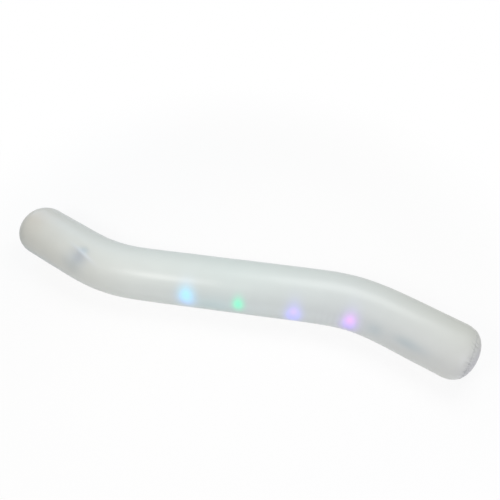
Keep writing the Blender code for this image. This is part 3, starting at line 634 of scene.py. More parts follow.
def plate(name, size, corner, layers, leftCorner=None):
    # Stacked rounded rectangles. size is left, right and half width, a layer is an inset and a height
    rings = []
    for inset, z in layers:
        left, right, half = size[0] + inset, size[1] - inset, size[2] - inset
        ring = []
        for end, side, start in ((right, 1, 0), (left, 1, 90), (left, -1, 180), (right, -1, 270)):
            inward = -1 if end == right else 1
            radius = max((corner if end == right else leftCorner or corner) - inset, 0.15)
            for step in range(7):
                turn = radians(start + 15 * step)
                ring.append((end + inward * radius + radius * cos(turn),
                             side * (half - radius) + radius * sin(turn), z))
        rings.append(ring)
    return ringSolid(name, rings)


def spin(name, profile, middle=(0, 0), hollow=False, sides=64):
    return ringSolid(name, [roundRing(radius, z, sides, middle) for radius, z in profile], hollow)


def sweep(name, route, section, side):
    # Carries a section along a route without twisting it. side is where its x first points
    rings = []
    for k, point in enumerate(route):
        along = (route[min(k + 1, len(route) - 1)] - route[max(k - 1, 0)]).normalized()
        side = (side - along * side.dot(along)).normalized()
        up = along.cross(side)
        rings.append([point + side * x + up * y for x, y in section])
    return ringSolid(name, rings)


def moved(made, matrix):
    made.data.transform(matrix)
    return made


def cutAway(made, cutters):
    for cutter in cutters:
        step = made.modifiers.new(cutter.name, "BOOLEAN")
        step.operation = "DIFFERENCE"
        step.solver = "EXACT"
        step.object = cutter
    bpy.context.view_layer.update()
    mesh = bpy.data.meshes.new_from_object(made.evaluated_get(bpy.context.evaluated_depsgraph_get()))
    made.modifiers.clear()
    made.data = mesh
    for cutter in cutters:
        bpy.data.objects.remove(cutter, do_unlink=True)


def addShells(made, shells):
    # Raised details that are part of the same moulding
    bm = bmesh.new()
    for item in [made] + shells:
        bm.from_mesh(item.data)
    bm.to_mesh(made.data)
    bm.free()
    for shell in shells:
        bpy.data.objects.remove(shell, do_unlink=True)


def finishPiece(made, place, node, slot, body="noodle", edge=0.0):
    if edge:
        rounding = made.modifiers.new("edgeRounding", "BEVEL")
        rounding.width = edge * mm
        rounding.segments = 2
        rounding.limit_method = "ANGLE"
        rounding.angle_limit = radians(50)
    made.data.shade_smooth()
    made.data.set_sharp_from_angle(angle=radians(35))
    made.matrix_world = place
    declare(made, node, slot, body)


def moulded(name, colour, tone, roughness, grain, depth, patch=14, sockets={"IOR": 1.53}):
    # Colour drifting towards a second tone over patches, with a surface grain, all in mm
    material, add, place = startMaterial(name)
    drift = add("TexNoise", [place, 1 / (patch * mm), 3])
    base = add("Mix", [drift, linear(colour), linear(tone)], **mixed)
    bumps = add("TexNoise", [place, 1 / (grain * mm), 2])
    worn = add("MapRange", [drift, 0.3, 0.7, *roughness])
    endMaterial(add, (bumps, 0.6, depth), {"Base Color": base, "Roughness": worn, **sockets})
    return material


mouldings = {
    # Spark-eroded ABS: an even matt grain that takes the shine off the case
    "grey_plastic": ("sparkErodedGreyAbs", "8A9095", "82888E", (0.42, 0.52), 0.45, 0.06),
    # Injection-moulded white ABS: satin, slightly warm
    "white_plastic": ("mouldedWhiteAbs", "E6E6E0", "DEDFD9", (0.32, 0.42), 0.6, 0.02),
    # Soft-touch TPE button: matt and a little rubbery
    "button_blue": ("softTouchBlueTpe", "3E86B8", "387CAC", (0.55, 0.68), 0.35, 0.05, 14, {"IOR": 1.5}),
    # Zinc-plated steel: cool metal with fine tumbling marks
    "steel": ("tumbledZincSteel", "B9BCC0", "A9ADB2", (0.28, 0.42), 0.12, 0.01, 3, {"Metallic": 1}),
    # Bright nickel plate: warm, smooth metal of the battery springs and contacts
    "nickel": ("brightNickelPlate", "C4BFB4", "B5AFA3", (0.18, 0.3), 0.15, 0.006, 2.5, {"Metallic": 1}),
    # Injection-moulded soft PVC: glossy, faintly milky and slightly see-through
    "valve_vinyl": ("injectedClearSoftPvc", "D9E0E1", "CFD8DA", (0.16, 0.26), 1.6, 0.03, 9,
                    {"IOR": 1.53, "Transmission Weight": 0.35}),
    # Extruded soft PVC insulation: satin, with faint unevenness along it
    "wire_white": ("extrudedWhitePvcSheath", "E8E8E4", "DCDDD9", (0.36, 0.46), 0.8, 0.015, 20),
    # Heat-shrunk polyolefin: a dull skin that takes the wires' unevenness
    "splice_blue": ("shrunkBluePolyolefin", "1F3550", "27405E", (0.35, 0.5), 0.9, 0.03, 6, {"IOR": 1.5}),
    # Clear polycarbonate, moulded in a polished tool: glassy, with a faint grey edge
    "clear_lens": ("polishedClearPolycarbonate", "F2F5F6", "E9EDEF", (0.04, 0.09), 3, 0.01, 12,
                   {"IOR": 1.585, "Transmission Weight": 0.9}),
    # Compression-moulded silicone: dull, with a fine bloom
    "silicone": ("bloomedGreySilicone", "4B4D50", "565759", (0.6, 0.75), 0.5, 0.05, 14, {"IOR": 1.41}),
    # Transfer-moulded epoxy: dull black with a fine filler grain
    "epoxy": ("transferMouldedEpoxy", "1E1F21", "26282A", (0.5, 0.62), 0.25, 0.02, 3, {"IOR": 1.55}),
}
finishes.update({slot: moulded(*values) for slot, values in mouldings.items()})

# Battery unit, behind the tube. Plates are left, right and half width
unit = {
    "body": (-36.95, 36.95, 23.9), "corner": 5, "bottom": 3.3, "top": 19.3, "topEdge": 1.6,
    "groove": (8.6, 9.2, 0.5),  # shadow line round the case: from, to, depth
    "controlBay": (-35.35, -18.95, 17.1), "roof": 17.7,
    "batteryBay": (-13.95, 35.35, 17.1), "floor": 4.5,
    "step": (-17.35, 41.95, 28.9), "rim": 15.6,  # where the cover sits
    "cover": (-17.05, 36.95, 23.9), "coverCorner": 1.2,
    "gasketPocket": (-15.75, 36.55, 18.9), "pocketTop": 17,
    "panel": (-8, 28, 16.5),  # sunk a little into the cover
    "ribs": (13, 2.3, 5),  # grip ribs on the cover: first, pitch, count
    "rib": (-0.55, 0.55, 11),
    "cradle": (-12.5, 34, 0.3), "cradleY": 5.6,  # ridges that hold the cells apart
    "basePad": (-38.95, 38.95, 25.9), "padTop": 3,
    "buttonHole": 5.3, "bezel": ((0.1, -0.3), (0.15, 0.35), (0.4, 0.6), (1, 0.6), (1.5, 0.3), (1.9, -0.3)),
    "buttonFoot": [(6.5, 16.4), (6.5, 17.3), (6.4, 17.4), (5.1, 17.4), (5, 17.6)], "buttonTop": 21.3,
    "buttonDome": ((5, 0.9), (4.85, 0.5), (4.4, 0.2), (3.7, 0.05), (3.4, 0), (3, 0), (2.8, 0.25), (1.6, 0.35),
                   (0.3, 0.38)),  # radius and drop below the top, with a raised ring to find by touch
    "screws": [(x, y) for x in (-12.05, 31.95) for y in (-21.25, 21.25)],
}
top = unit["top"]


def buildCaseBase():
    made = plate("caseBase", unit["basePad"], unit["corner"],
                 [(0, -7), (0, 0.9), (0.3, 1.2)] + wallLayers(1.4, unit["padTop"], 0.01, 0.9)[5:])
    left, right, _ = unit["basePad"]
    axis = tubeRadius / mm
    saddle = ringSolid("saddle", [[(end, y, z - axis) for y, z, _ in roundRing(axis + 0.3, 0, 180)]
                                  for end in (left - 2, right + 2)])
    bore = spin("bore", [(mounts["leadHole"], -8), (mounts["leadHole"], 5)], buttonMiddle)
    cutAway(made, [saddle, bore])
    finishPiece(made, unitFrame, "case_base", "grey_plastic", edge=0.25)


def buildCaseBody():
    low, high, depth = unit["groove"]
    made = plate("caseBody", unit["body"], unit["corner"],
                 wallLayers(unit["bottom"], low, 0.4, 0.25) + [(depth, low + 0.05), (depth, high - 0.05)]
                 + wallLayers(high, top, 0.25, unit["topEdge"]))
    over, hole, floor = top + 5, unit["buttonHole"], unit["floor"]
    cutAway(made, [
        plate("step", unit["step"], 0.2, [(0, unit["rim"]), (0, over)]),
        plate("batteryBay", unit["batteryBay"], 1.2, [(0.4, floor), (0, floor + 0.4), (0, over)]),
        plate("controlBay", unit["controlBay"], 1.2, [(0, 0), (0, unit["roof"])]),
        spin("buttonHole", [(hole, 12), (hole, over)], buttonMiddle),
        *[spin("threadHole", [(1.4, 7.3), (1.4, 22)], place, sides=24) for place in unit["screws"]]])
    # A bezel guards the button
    bezel = spin("bezel", [(hole + out, top + up) for out, up in unit["bezel"]], buttonMiddle, hollow=True)
    addShells(made, [bezel] + [
        moved(plate("cradle", unit["cradle"], 0.2, [(0, 4.3), (0, 6.6), (0.12, 6.8)]),
              Matrix.Translation((0, side * unit["cradleY"] * mm, 0))) for side in (-1, 1)])
    finishPiece(made, unitFrame, "case_body", "grey_plastic", edge=0.2)


def buildCover():
    made = plate("batteryCover", unit["cover"], unit["corner"],
                 wallLayers(unit["rim"] + 0.3, top, 0.25, unit["topEdge"]), unit["coverCorner"])
    cutAway(made, [
        plate("pocket", unit["gasketPocket"], 0.3, [(0, 10), (0, unit["pocketTop"])]),
        plate("panel", unit["panel"], 3, [(0.4, top - 0.5), (0, top - 0.1), (0, top + 2)]),
        *[spin("screwHole", [(1.5, 10), (1.5, top - 1.1), (2.5, top - 1.1), (2.5, top - 0.2), (2.8, top + 1)],
               place, sides=40) for place in unit["screws"]]])
    first, pitch, count = unit["ribs"]
    addShells(made, [
        moved(plate("rib", unit["rib"], 0.5, [(0, top - 0.7), (0, top - 0.25), (0.3, top)]),
              Matrix.Translation(((first + pitch * number) * mm, 0, 0))) for number in range(count)])
    finishPiece(made, unitFrame, "battery_cover", "grey_plastic", "battery_cover", 0.2)


def buildButton():
    dome = [(radius, unit["buttonTop"] - drop) for radius, drop in unit["buttonDome"]]
    made = spin("pushButton", unit["buttonFoot"] + dome, buttonMiddle)
    finishPiece(made, unitFrame, "push_button", "button_blue", "push_button")


# Pan head with a cross recess. The shank carries a real thread
screw = {
    "tip": (0.5, 7.6), "threadStart": 7.7, "threadSteps": 140, "threadStep": 0.05,
    "pitch": 0.5, "core": 0.98, "crest": 0.2, "sides": 24,
    "head": [(1.15, 14.7), (1.15, 18.4), (1.25, 18.5), (2.1, 18.5), (2.2, 18.6), (2.2, 19.1), (2.05, 19.45),
             (1.7, 19.68), (1.2, 19.78), (0.3, 19.8)],
    "slot": (-1.3, 1.3, 0.28),
}


def buildScrew(number, x, y):
    sides = screw["sides"]
    rings = [roundRing(*screw["tip"], sides)]
    for step in range(screw["threadSteps"]):
        z = screw["threadStart"] + screw["threadStep"] * step
        ring = []
        for k, (across, up, _) in enumerate(roundRing(1, 0, sides)):
            phase = (z / screw["pitch"] - k / sides) % 1
            radius = screw["core"] + screw["crest"] * (1 - abs(2 * phase - 1))
            ring.append((radius * across, radius * up, z))
        rings.append(ring)
    made = ringSolid(f"coverScrew{number}", rings + [roundRing(*stop, sides) for stop in screw["head"]])
    cutAway(made, [moved(plate("slot", screw["slot"], 0.1, [(0.1, 18.75), (0, 19.3), (0, 21)]),
                         Matrix.Rotation(turn, 4, "Z")) for turn in (0, pi / 2)])
    node = f"cover_screw_{number}"
    finishPiece(made, unitFrame @ Matrix.Translation((x * mm, y * mm, 0)), node, "steel", node)


buildCaseBase()
buildCaseBody()
buildCover()
buildButton()
for number, place in enumerate(unit["screws"], start=1):
    buildScrew(number, *place)
print("battery unit: built")

# Air valve, behind the tube: radius and height of each profile
valve = {
    "flange": (  # the middle part follows the curve of the film
        (False, [(6.4, 1.8), (6.6, 2), (8.2, 2), (8.5, 1.75)]),
        (True, [(8.6, 1.15), (9.1, 1), (11.4, 1), (11.7, 0.72), (12.7, 0.72), (13, 1), (15.1, 1),
                (15.4, 0.72), (16.4, 0.72), (16.7, 0.95), (18.5, 0.85), (18.9, 0.6), (19, 0.3), (19, 0),
                (8.8, 0), (8.5, -0.3)]),
        (False, [(8.5, -8.8), (8.3, -9), (6.6, -9), (6.4, -8.8)])),
    "stem": [(4.3, 3.4), (4.5, 3.6), (7.6, 3.6), (7.9, 3.45), (8, 3.2), (8, 2.7), (7.9, 2.4), (7.7, 2.3),
             (6.3, 2.3), (6.1, 2.1), (6.1, -10.3), (5.9, -10.5), (4.5, -10.5), (4.3, -10.3)],
    "plug": [(3.2, -4.7), (4, -3.9), (4, -2.4), (3.85, -2.1), (3.85, -1.5), (4, -1.2), (4, 3.85),
             (6.2, 3.9), (6.45, 4.05), (6.5, 4.4), (6.45, 5), (6.2, 5.35), (5.7, 5.5), (5, 5.5), (4.7, 5.25),
             (0.3, 5.15)],
    "pullTab": (-10.2, -6, 2.2), "tabLayers": [(0.3, 4.1), (0, 4.35), (0, 4.95), (0.3, 5.2)],
    "wall": 0.3,
    # The flat strap from the stem's rim round to the plug's head
    "strapLow": 2.95, "strapHigh": 4.7, "loopX": 12.3, "loopBulge": 1.25,
    "strapHalf": 2, "strapThickness": 0.8, "blendX": 8,
}


def buildValve():
    wall = tubeRadius / mm + valve["wall"]
    rings = [[(x, y, sqrt((wall + height) ** 2 - y ** 2) - wall + valve["wall"] if follows else height)
              for x, y, _ in roundRing(radius, 0, 96)]
             for follows, profile in valve["flange"] for radius, height in profile]
    finishPiece(ringSolid("valveFlange", rings, hollow=True), valveFrame, "valve_flange", "valve_vinyl")
    stem = spin("valveStem", valve["stem"], hollow=True)
    finishPiece(stem, valveFrame, "valve_stem", "valve_vinyl", "valve_stem")
    plug = spin("valvePlug", valve["plug"])
    addShells(plug, [plate("pullTab", valve["pullTab"], 0.3, valve["tabLayers"], 2.1)])
    finishPiece(plug, valveFrame, "valve_plug", "valve_vinyl", "valve_plug")


def buildStrap():
    # The real strap bends as the plug is pulled; here it keeps its resting shape
    low, high, loopX = valve["strapLow"], valve["strapHigh"], valve["loopX"]
    path = [(8.2, low), (9.5, low + 0.05), (11, low + 0.1), (loopX, low + 0.15)]
    reach = (high - low - 0.3) / 2
    for step in range(1, 12):
        turn = pi * step / 12 - pi / 2
        path.append((loopX + valve["loopBulge"] * reach * cos(turn), (low + high) / 2 + reach * sin(turn)))
    points = np.array(path + [(loopX, high - 0.15), (11, high - 0.1), (9, high - 0.05), (6.6, high)])
    tangent = np.gradient(points, axis=0)
    side = np.stack([-tangent[:, 1], tangent[:, 0]], -1) / np.hypot(*tangent.T)[:, None]
    half, edge = valve["strapHalf"], valve["strapThickness"] / 2
    section = [(way * y, way * h) for way in (1, -1) for y, h in (
        (-half, -0.6 * edge), (-half + 0.3, -edge), (half - 0.3, -edge), (half, -0.6 * edge))]
    made = ringSolid("plugStrap", [[(x + nx * h, y, z + nz * h) for y, h in section]
                                   for (x, z), (nx, nz) in zip(points, side)])
    finishPiece(made, valveFrame, "plug_strap", "valve_vinyl", None)
    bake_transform(made)


buildValve()
buildStrap()
print("air valve: built")

# Cells, springs and contacts in the battery bay
power = {
    "cellLevel": 10.05, "cellPitch": 11.2, "cellHalf": 22.25, "gap": 0.3,
    "springLength": 3.2, "springFoot": 3.6, "springTip": 2, "springTurns": 3, "springWire": 0.25,
    "coilSteps": 28, "closedSteps": 12,  # points in a turn, and of its flat ends
    "contact": (-4, 4, 4), "contactThickness": 0.4,
    "dimple": [(2.4, 0.1), (2.4, 0), (2, -0.08), (1.4, -0.2), (0.3, -0.24)],
    "cell": [  # radius and height of the crimped can, its wrap, insulating washer and nub
        (0.3, -22.25), (3.7, -22.25), (3.9, -22.15), (4.1, -21.95), (4.6, -21.9), (4.85, -22), (5, -21.85),
        (5.1, -21.6), (5.25, -21.45), (5.25, 21), (5.15, 21.25), (4.95, 21.42), (4.6, 21.45), (4.4, 21.3),
        (4.2, 21.15), (2.5, 21.15), (2.3, 21.3), (2, 21.4), (1.9, 21.6), (1.9, 22.05), (1.7, 22.25),
        (0.3, 22.25)],
    # Where each stretch of the can starts, its colour, and whether it is bare metal
    "looks": ((-22.25, "D9DBDC", 1), (-21.45, "2E5D6B", 0), (12, "D9DBDC", 1), (14.5, "2E5D6B", 0),
              (21.2, "D9DBDC", 1)),
}


def cellWrap():
    # Printed and varnished steel can: a dark wrap with a pale band, bare metal at both ends
    material, add, place = startMaterial("varnishedSteelCellCan")
    parts = add("SeparateXYZ", [place])
    half = power["cellHalf"]
    height = add("MapRange", [parts.outputs["Z"], -half * mm, half * mm])
    colour, metal = add("ValToRGB", [height]), add("ValToRGB", [height])
    stops = [((start + half) / (2 * half), tone, bare) for start, tone, bare in power["looks"]]
    fillRamp(colour, [(stop, linear(tone)) for stop, tone, _ in stops], "CONSTANT")
    fillRamp(metal, [(stop, (bare, bare, bare, 1)) for stop, _, bare in stops], "CONSTANT")
    # Scuffs from sliding in and out of the bay run along the can
    stretched = add("Mapping", {"Vector": place, "Scale": (1, 1, 0.06)})
    scuff = add("TexNoise", [stretched, 1 / (0.5 * mm), 3])
    roughness = add("MapRange", [scuff, 0.35, 0.7, 0.22, 0.38])
    endMaterial(add, (scuff, 0.3, 0.01), {"Base Color": colour, "Metallic": metal, "Roughness": roughness})
    return material


def bayFrame(number, way, x):
    # Place on the axis of a cell, with +Z towards its plus end
    y = (number - 2) * power["cellPitch"]
    return (unitFrame @ Matrix.Translation(Vector((x, y, power["cellLevel"])) * mm)
            @ Matrix.Rotation(way * pi / 2, 4, "Y"))


def springRoute():
    wire, steps = power["springWire"], power["coilSteps"] * power["springTurns"]
    route = []
    for step in range(steps + 1):
        turn = 2 * pi * step / power["coilSteps"]
        radius = power["springFoot"] + (power["springTip"] - power["springFoot"]) * step / steps
        share = (step - power["closedSteps"]) / (steps - 2 * power["closedSteps"])
        height = wire + (power["springLength"] - 2 * wire) * min(max(share, 0), 1)
        route.append(Vector((radius * cos(turn), radius * sin(turn), height)))
    return route


def buildPower():
    bay, gap, thick = unit["batteryBay"], power["gap"], power["contactThickness"]
    wire = [(x, y) for x, y, _ in roundRing(power["springWire"], 0, 10)]
    for number, way in ((1, 1), (2, -1), (3, 1)):  # the middle cell lies the other way round
        minus, plus = bay[:2][::way]
        cell = spin(f"cell{number}", power["cell"])
        middle = minus + way * (2 * gap + power["springLength"] + power["cellHalf"])
        finishPiece(cell, bayFrame(number, way, middle), f"battery_{number}", "cell_silver")
        spring = sweep(f"spring{number}", springRoute(), wire, Vector((0, 0, 1)))
        finishPiece(spring, bayFrame(number, way, minus + way * gap), f"battery_spring_{number}", "nickel")
        contact = plate(f"contact{number}", power["contact"], 0.8,
                        [(0.1, 0), (0, 0.1), (0, thick - 0.1), (0.1, thick)])
        addShells(contact, [spin("dimple", power["dimple"])])
        place = bayFrame(number, way, plus - way * (gap + thick))
        finishPiece(contact, place, f"battery_contact_{number}", "nickel")


finishes["cell_silver"] = cellWrap()
buildPower()
print("cells, springs and contacts: built")

# Light string and its channel, inside the front wall
pod = {
    "radius": 10, "height": 8, "wireRise": 2.4,
    "cup": [(0.3, 1.2), (7.1, 1.2), (7.4, 1.5), (7.4, 3), (7.6, 3.2), (9.7, 3.2), (10, 2.9), (10, 0.6),
            (9.8, 0.2), (9.3, 0), (0.3, 0)],
    "collar": [(0.3, 8), (2, 8), (2, 9.9), (1.8, 10.15), (0.3, 10.15)],  # strain relief
    "skirt": 3.3, "domeFoot": 3.5, "domeRise": 4.5, "wall": 1.2,
    "lights": ("3C9BFF", "2EFF86", "7A4BFF", "FF5AA0", "D8D4C6"),
    "powers": (2, 2, 2, 2, 0),  # the fifth isn't lit
}
wallDepth = film["thickness"] + tubeRadius - axisHeight + 0.3 * mm
podDepth = wallDepth + pod["height"] * mm
wireDepth = podDepth - pod["wireRise"] * mm
lead = {
    "halfWidth": 0.58, "core": 0.62,  # two insulated cores side by side
    "wander": 0.7, "steps": 40,
    "rest": wallDepth / mm + 1.2,
    # Share of the way to the first pod, turn, depth, and how often the depth at rest
    "stops": [(0, 205, -8.5, 0), (0, 205, 2.4, 0), (0, 206, 0, 3), (0.01, 214, 0, 4), (0.03, 226, 0, 3),
              (0.06, 240, 0, 1.5), (0.1, 258, 0, 1.1), (0.17, 285, 0, 1.1), (0.24, 315, 0, 1.1),
              (0.32, 345, 0, 1.1), (0.42, 366, 0, 1.3), (0.54, 382, 0, 2)],
    "lastShares": (0.68, 0.8, 0.92),
}
splice = {
    "half": 12,
    "profile": [(1.75, 12), (1.9, 12), (1.98, 11.6), (2, 10), (2.2, 9), (2.38, 8), (2.4, 5),
                (2.32, 2.5), (2.4, 0), (2.34, -3), (2.4, -5.5), (2.38, -8), (2.2, -9), (2, -10),
                (1.98, -11.6), (1.9, -12), (1.75, -12)],
}
channel = {
    "foot": 23, "half": 13, "slope": 3.6, "slack": 0.6, "endMargin": 16, "relax": 0.1,
    "thickness": 0.25, "rows": 420, "columns": 61,
    "weldMiddle": 18.25, "weldWidth": 5.5,
    "ripple": 0.12, "ripplePitch": 9,
}


def twinSection():
    # Figure of eight of the two cores
    ring = []
    for centre, start in ((lead["halfWidth"], -120), (-lead["halfWidth"], 60)):
        for step in range(11):
            turn = radians(start + 24 * step)
            ring.append((centre + lead["core"] * cos(turn), lead["core"] * sin(turn)))
    return ring


def smoothRoute(stops, samples=12):
    knots = [stops[0]] + list(stops) + [stops[-1]]
    curve = []
    for index in range(len(stops) - 1):
        a, b, c, d = knots[index:index + 4]
        for step in range(samples):
            t = step / samples
            curve.append((2 * b + (c - a) * t + (2 * a - 5 * b + 4 * c - d) * t ** 2
                          + (3 * b - a - 3 * c + d) * t ** 3) / 2)
    return curve + [stops[-1]]


def stringPoint(s, sideways=0.0):
    return Vector(tubePoint(s, lightAngle(s) + sideways * mm / tubeRadius, tubeRadius - wireDepth)) / mm


def podSide(number, way):
    # Where a wire meets a pod
    s = podPlaces[number]
    return filmFrame(s, lightAngle(s), wireDepth) @ Vector((way * (pod["radius"] + 0.1) * mm, 0, 0)) / mm


def buildWires():
    section, count, reach = twinSection(), lead["steps"], 2 * pod["radius"] * mm
    for number in range(4):
        near, far = podPlaces[number] + reach, podPlaces[number + 1] - reach
        stops = [podSide(number, 1)]
        for step in range(count + 1):
            wander = sin(3 * pi * step / count) * sin(pi * step / count)
            stops.append(stringPoint(near + (far - near) * step / count, lead["wander"] * wander))
        route = smoothRoute(stops + [podSide(number + 1, -1)], 3)
        made = sweep(f"wire{number + 1}", route, section, Vector((0, 0, 1)))
        finishPiece(made, Matrix(), f"wire_{number + 1}_{number + 2}", "wire_white")
    first = mounts["unit"][0] + mounts["buttonX"] * mm
    way = podPlaces[0] - (pod["radius"] + 0.3) * mm - first
    stops = [Vector(tubePoint(first + share * way, radians(turn),
                              tubeRadius - (depth + rests * lead["rest"]) * mm)) / mm
             for share, turn, depth, rests in lead["stops"]]
    stops += [stringPoint(first + share * way) for share in lead["lastShares"]] + [podSide(0, -1)]
    made = sweep("wireLead", smoothRoute(stops), section, Vector((1, 0, 0)))
    finishPiece(made, Matrix(), "wire_lead", "wire_white")


def buildSplice():
    # Heat-shrink tube: necks down on the wires at both ends, with a soft ripple
    made = spin("spliceSleeve", splice["profile"], hollow=True, sides=32)
    start, end = [stringPoint(splicePlace + way * splice["half"] * mm) * mm for way in (-1, 1)]
    place = (end - start).to_track_quat("Z", "Y").to_matrix().to_4x4()
    place.translation = (start + end) / 2
    finishPiece(made, place, "wire_splice_sleeve", "splice_blue")


def podFrame(number):
    s = podPlaces[number - 1]
    return filmFrame(s, lightAngle(s), podDepth)


def buildPods():
    # The dome's turns, from close to its top down to its foot
    turns = [radians(2 + 88 * step / 14) for step in range(15)]
    foot, rise, wall, radius = pod["domeFoot"], pod["domeRise"], pod["wall"], pod["radius"]
    inner = [((radius - wall) * sin(t), foot + (rise - wall) * cos(t)) for t in turns]
    outer = [(radius * sin(t), foot + rise * cos(t)) for t in reversed(turns)]
    dome = inner + [(radius - wall, pod["skirt"]), (radius, pod["skirt"])] + outer
    for number in range(1, 6):
        cup = spin(f"podCup{number}", pod["cup"])
        addShells(cup, [moved(spin("collar", pod["collar"], sides=24),
                              Matrix.Translation((0, 0, pod["wireRise"] * mm))
                              @ Matrix.Rotation(side * pi / 2, 4, "Y")) for side in (-1, 1)])
        finishPiece(cup, podFrame(number), f"pod_base_{number}", "white_plastic")
        finishPiece(spin(f"podLens{number}", dome), podFrame(number), f"pod_lens_{number}", "clear_lens")


def eased(share):
    return share * share * (3 - 2 * share)


def buildChannel():
    reach = (pod["radius"] + channel["endMargin"]) * mm
    s = np.linspace(podPlaces[0] - reach, podPlaces[-1] + reach, channel["rows"])[:, None]
    across = np.linspace(-channel["foot"], channel["foot"], channel["columns"])[None, :]
    share = eased(np.clip((channel["half"] - np.abs(across)) / channel["slope"], 0, 1))
    near = np.min(np.abs(s - np.array(podPlaces)[None, :]), axis=1, keepdims=True) / mm
    slack = channel["relax"] * eased(np.clip((near - pod["radius"] - 4) / 30, 0, 1))
    ripple = (channel["ripple"] * np.sin(2 * pi * s / (channel["ripplePitch"] * mm) + 0.3 * across)
              * np.clip(1 - np.abs(near - 12) / 10, 0, 1))
    deep = (pod["height"] + channel["slack"]) * (1 - slack)
    depth = wallDepth / mm + share * (deep + ripple)
    angle = np.vectorize(lightAngle)(s) + across * mm / (tubeRadius - depth * mm)
    weld = pressed(np.abs(across) - channel["weldMiddle"], channel["weldWidth"], 0.4) + 0 * s
    made = gridObject("lightChannel", tubePoint(s, angle, tubeRadius - depth * mm), weld, closedAround=False)
    giveThickness(made, channel["thickness"] * mm)
    declare(made, "light_channel_film", "clear_film")


def clearFilm():
    # Calendered clear PVC film: glossy and slightly blue, with the weld bars' print along its edges
    material, add, place = startMaterial("calenderedClearPvcFilm")
    flow = add("TexNoise", [place, 1 / (18 * mm), 2])
    weld, dimples = weldPrint(add, place)
    height = add("Mix", [weld, flow, dimples], data_type="FLOAT")
    tint = add("Mix", [flow, linear("EEF4F6"), linear("E3ECF0")], **mixed)
    roughness = add("MapRange", [weld, 0, 1, 0.1, 0.3])
    endMaterial(add, (height, 0.3, 0.3), {
        "Base Color": tint, "Roughness": roughness, "IOR": 1.53, "Transmission Weight": 0.9})
    return material


finishes["clear_film"] = clearFilm()
buildWires()
buildSplice()
buildPods()
buildChannel()
print("light string: built")


# Finishes of the CAD pieces that keep their own shape
def circuitBoard(name, matrix, mask):
    # Solder mask over copper: mottled, with faint tracks 0.9 mm apart under it
    material, add, place = startMaterial(name)
    local = add("Mapping", [place, *inFrame(matrix)], vector_type="TEXTURE")
    tracks = add("TexBrick", {
        "Vector": local, "Scale": 1, "Mortar Size": 0.1, "Mortar Smooth": 0.2, "Brick Width": 5.2,
        "Row Height": 0.9}, offset=0.37, squash=0.6, squash_frequency=3).outputs["Fac"]
    weave = add("TexNoise", [local, 1.4, 3])  # patches 0.7 mm wide
    base = add("Mix", [weave, linear(mask[0]), linear(mask[1])], **mixed)
    colour = add("Mix", [tracks, base, linear(mask[2])], **mixed)
    endMaterial(add, (tracks, 0.5, 0.03), {"Base Color": colour, "Roughness": 0.3, "IOR": 1.55})
    return material


def ledPackage(name, matrix, hexColour, strength):
    # White moulded package with a 4 mm well of clear epoxy, which is what lights up
    material, add, place = startMaterial(name)
    local = add("Mapping", [place, *inFrame(matrix)], vector_type="TEXTURE")
    parts = add("SeparateXYZ", [local])
    flat = add("CombineXYZ", [parts.outputs["X"], parts.outputs["Y"]])
    away = add("VectorMath", [flat], operation="LENGTH")
    well = add("MapRange", [away, 1.85, 2, 1, 0])
    mottle = add("TexNoise", [local, 1 / 0.5, 2])
    body = add("Mix", [mottle, linear("EFEEE9"), linear("E2E1DA")], **mixed)
    colour = add("Mix", [well, body, linear(hexColour)], **mixed)
    roughness = add("MapRange", [well, 0, 1, 0.45, 0.12])
    shine = add("VectorMath", [linear(hexColour)[:3], well], operation="SCALE")
    endMaterial(add, None, {"Base Color": colour, "Roughness": roughness, "IOR": 1.5,
                            "Emission Color": shine, "Emission Strength": strength})
    return material


nodeFinishes = {"control_board": circuitBoard("greenMaskBoard", unitFrame, ("1E5B3C", "174A31", "2F7A52"))}
for number in range(1, 6):
    place = podFrame(number)
    nodeFinishes[f"pod_board_{number}"] = circuitBoard(
        f"whiteMaskBoard{number}", place, ("D6DAD6", "CBD0CB", "B9A77A"))
    nodeFinishes[f"pod_led_{number}"] = ledPackage(
        f"epoxyFilledLed{number}", place, pod["lights"][number - 1], pod["powers"][number - 1])
for node, finish in (
        ("control_chip", "epoxy"), ("switch_body", "epoxy"), ("switch_plunger", "white_plastic"),
        ("cable_gland", "silicone"), ("cover_gasket", "silicone"), ("check_flap", "valve_vinyl")):
    nodeFinishes[node] = finishes[finish]
for node, material in nodeFinishes.items():
    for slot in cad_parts[node].material_slots:
        slot.material = material
print("inner pieces: finished")

# Stage
stage = {
    "floorColour": "F4F4F2", "floorSize": 8, "floorDrop": 0.2 * mm,
    "paperReach": 0.55,  # from the middle, where the white backdrop starts to take over
    "whiteReach": 1.1, "whiteShare": 0.88,
    "ambient": 0.2,
}
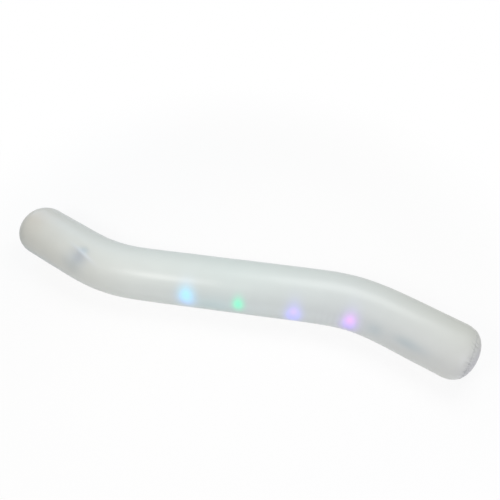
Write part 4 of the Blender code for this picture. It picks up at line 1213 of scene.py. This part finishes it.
# Azimuth, elevation, watts, size and colour of each panel
lamps = {
    "keyPanel": (321, 50, 7, 0.38, "FFFAFA"),
    "rightFill": (44, 22, 4.2, 0.6, "ECE9FA"),
    "backFill": (233, 21, 2.6, 0.6, "C8E0FF"),
    "topPanel": (135, 67, 10, 0.72, "FCFDFC"),
}
lampCentre = (0.02, 0, 0.07)
lampDistance = 1.35


def backdropShare(add):
    # 1 for the rays that see the white backdrop: the camera's own, and those off gloss and through glass
    rays = add("LightPath").outputs
    share = rays["Is Camera Ray"]
    for kind in ("Is Glossy Ray", "Is Transmission Ray"):
        share = add("Math", [share, rays[kind]], operation="MAXIMUM")
    return share


def buildFloor():
    half = stage["floorSize"] / 2
    mesh = bpy.data.meshes.new("studioFloor")
    corners = [(-half, -half, 0), (half, -half, 0), (half, half, 0), (-half, half, 0)]
    mesh.from_pydata(corners, [], [(0, 1, 2, 3)])
    floor = addObject("studioFloor", mesh)
    floor.location.z = -stage["floorDrop"]
    # Matt paper sweep: lit paper round the noodle, which turns into plain white backdrop further off
    material, add, place = startMaterial("mattPaperSweep")
    away = add("VectorMath", [place], operation="LENGTH")
    plain = add("MapRange", [away, stage["paperReach"], stage["whiteReach"], stage["whiteShare"], 1],
                interpolation_type="SMOOTHSTEP")
    share = add("Math", [backdropShare(add), plain], operation="MULTIPLY")
    paper = add("BsdfDiffuse", [linear(stage["floorColour"])])
    white = add("Emission", [linear("FFFFFF"), 1])
    add("OutputMaterial", [add("MixShader", [share, paper, white])])
    mesh.materials.append(material)


def buildRoom():
    scene.world = bpy.data.worlds.new("studioRoom")
    add = startNodes(scene.world)
    strength = add("MapRange", [backdropShare(add), 0, 1, stage["ambient"], 1])
    add("OutputWorld", [add("Background", [linear("FFFFFF"), strength])])


def buildLamps():
    for name, (azimuth, elevation, watts, size, colour) in lamps.items():
        light = bpy.data.lights.new(name, "AREA")
        light.size = size
        light.energy = watts
        light.color = linear(colour)[:3]
        aim(addObject(name, light), lampCentre, azimuth, elevation, lampDistance)


buildFloor()
buildRoom()
buildLamps()
print("stage: floor, room and lamps placed")
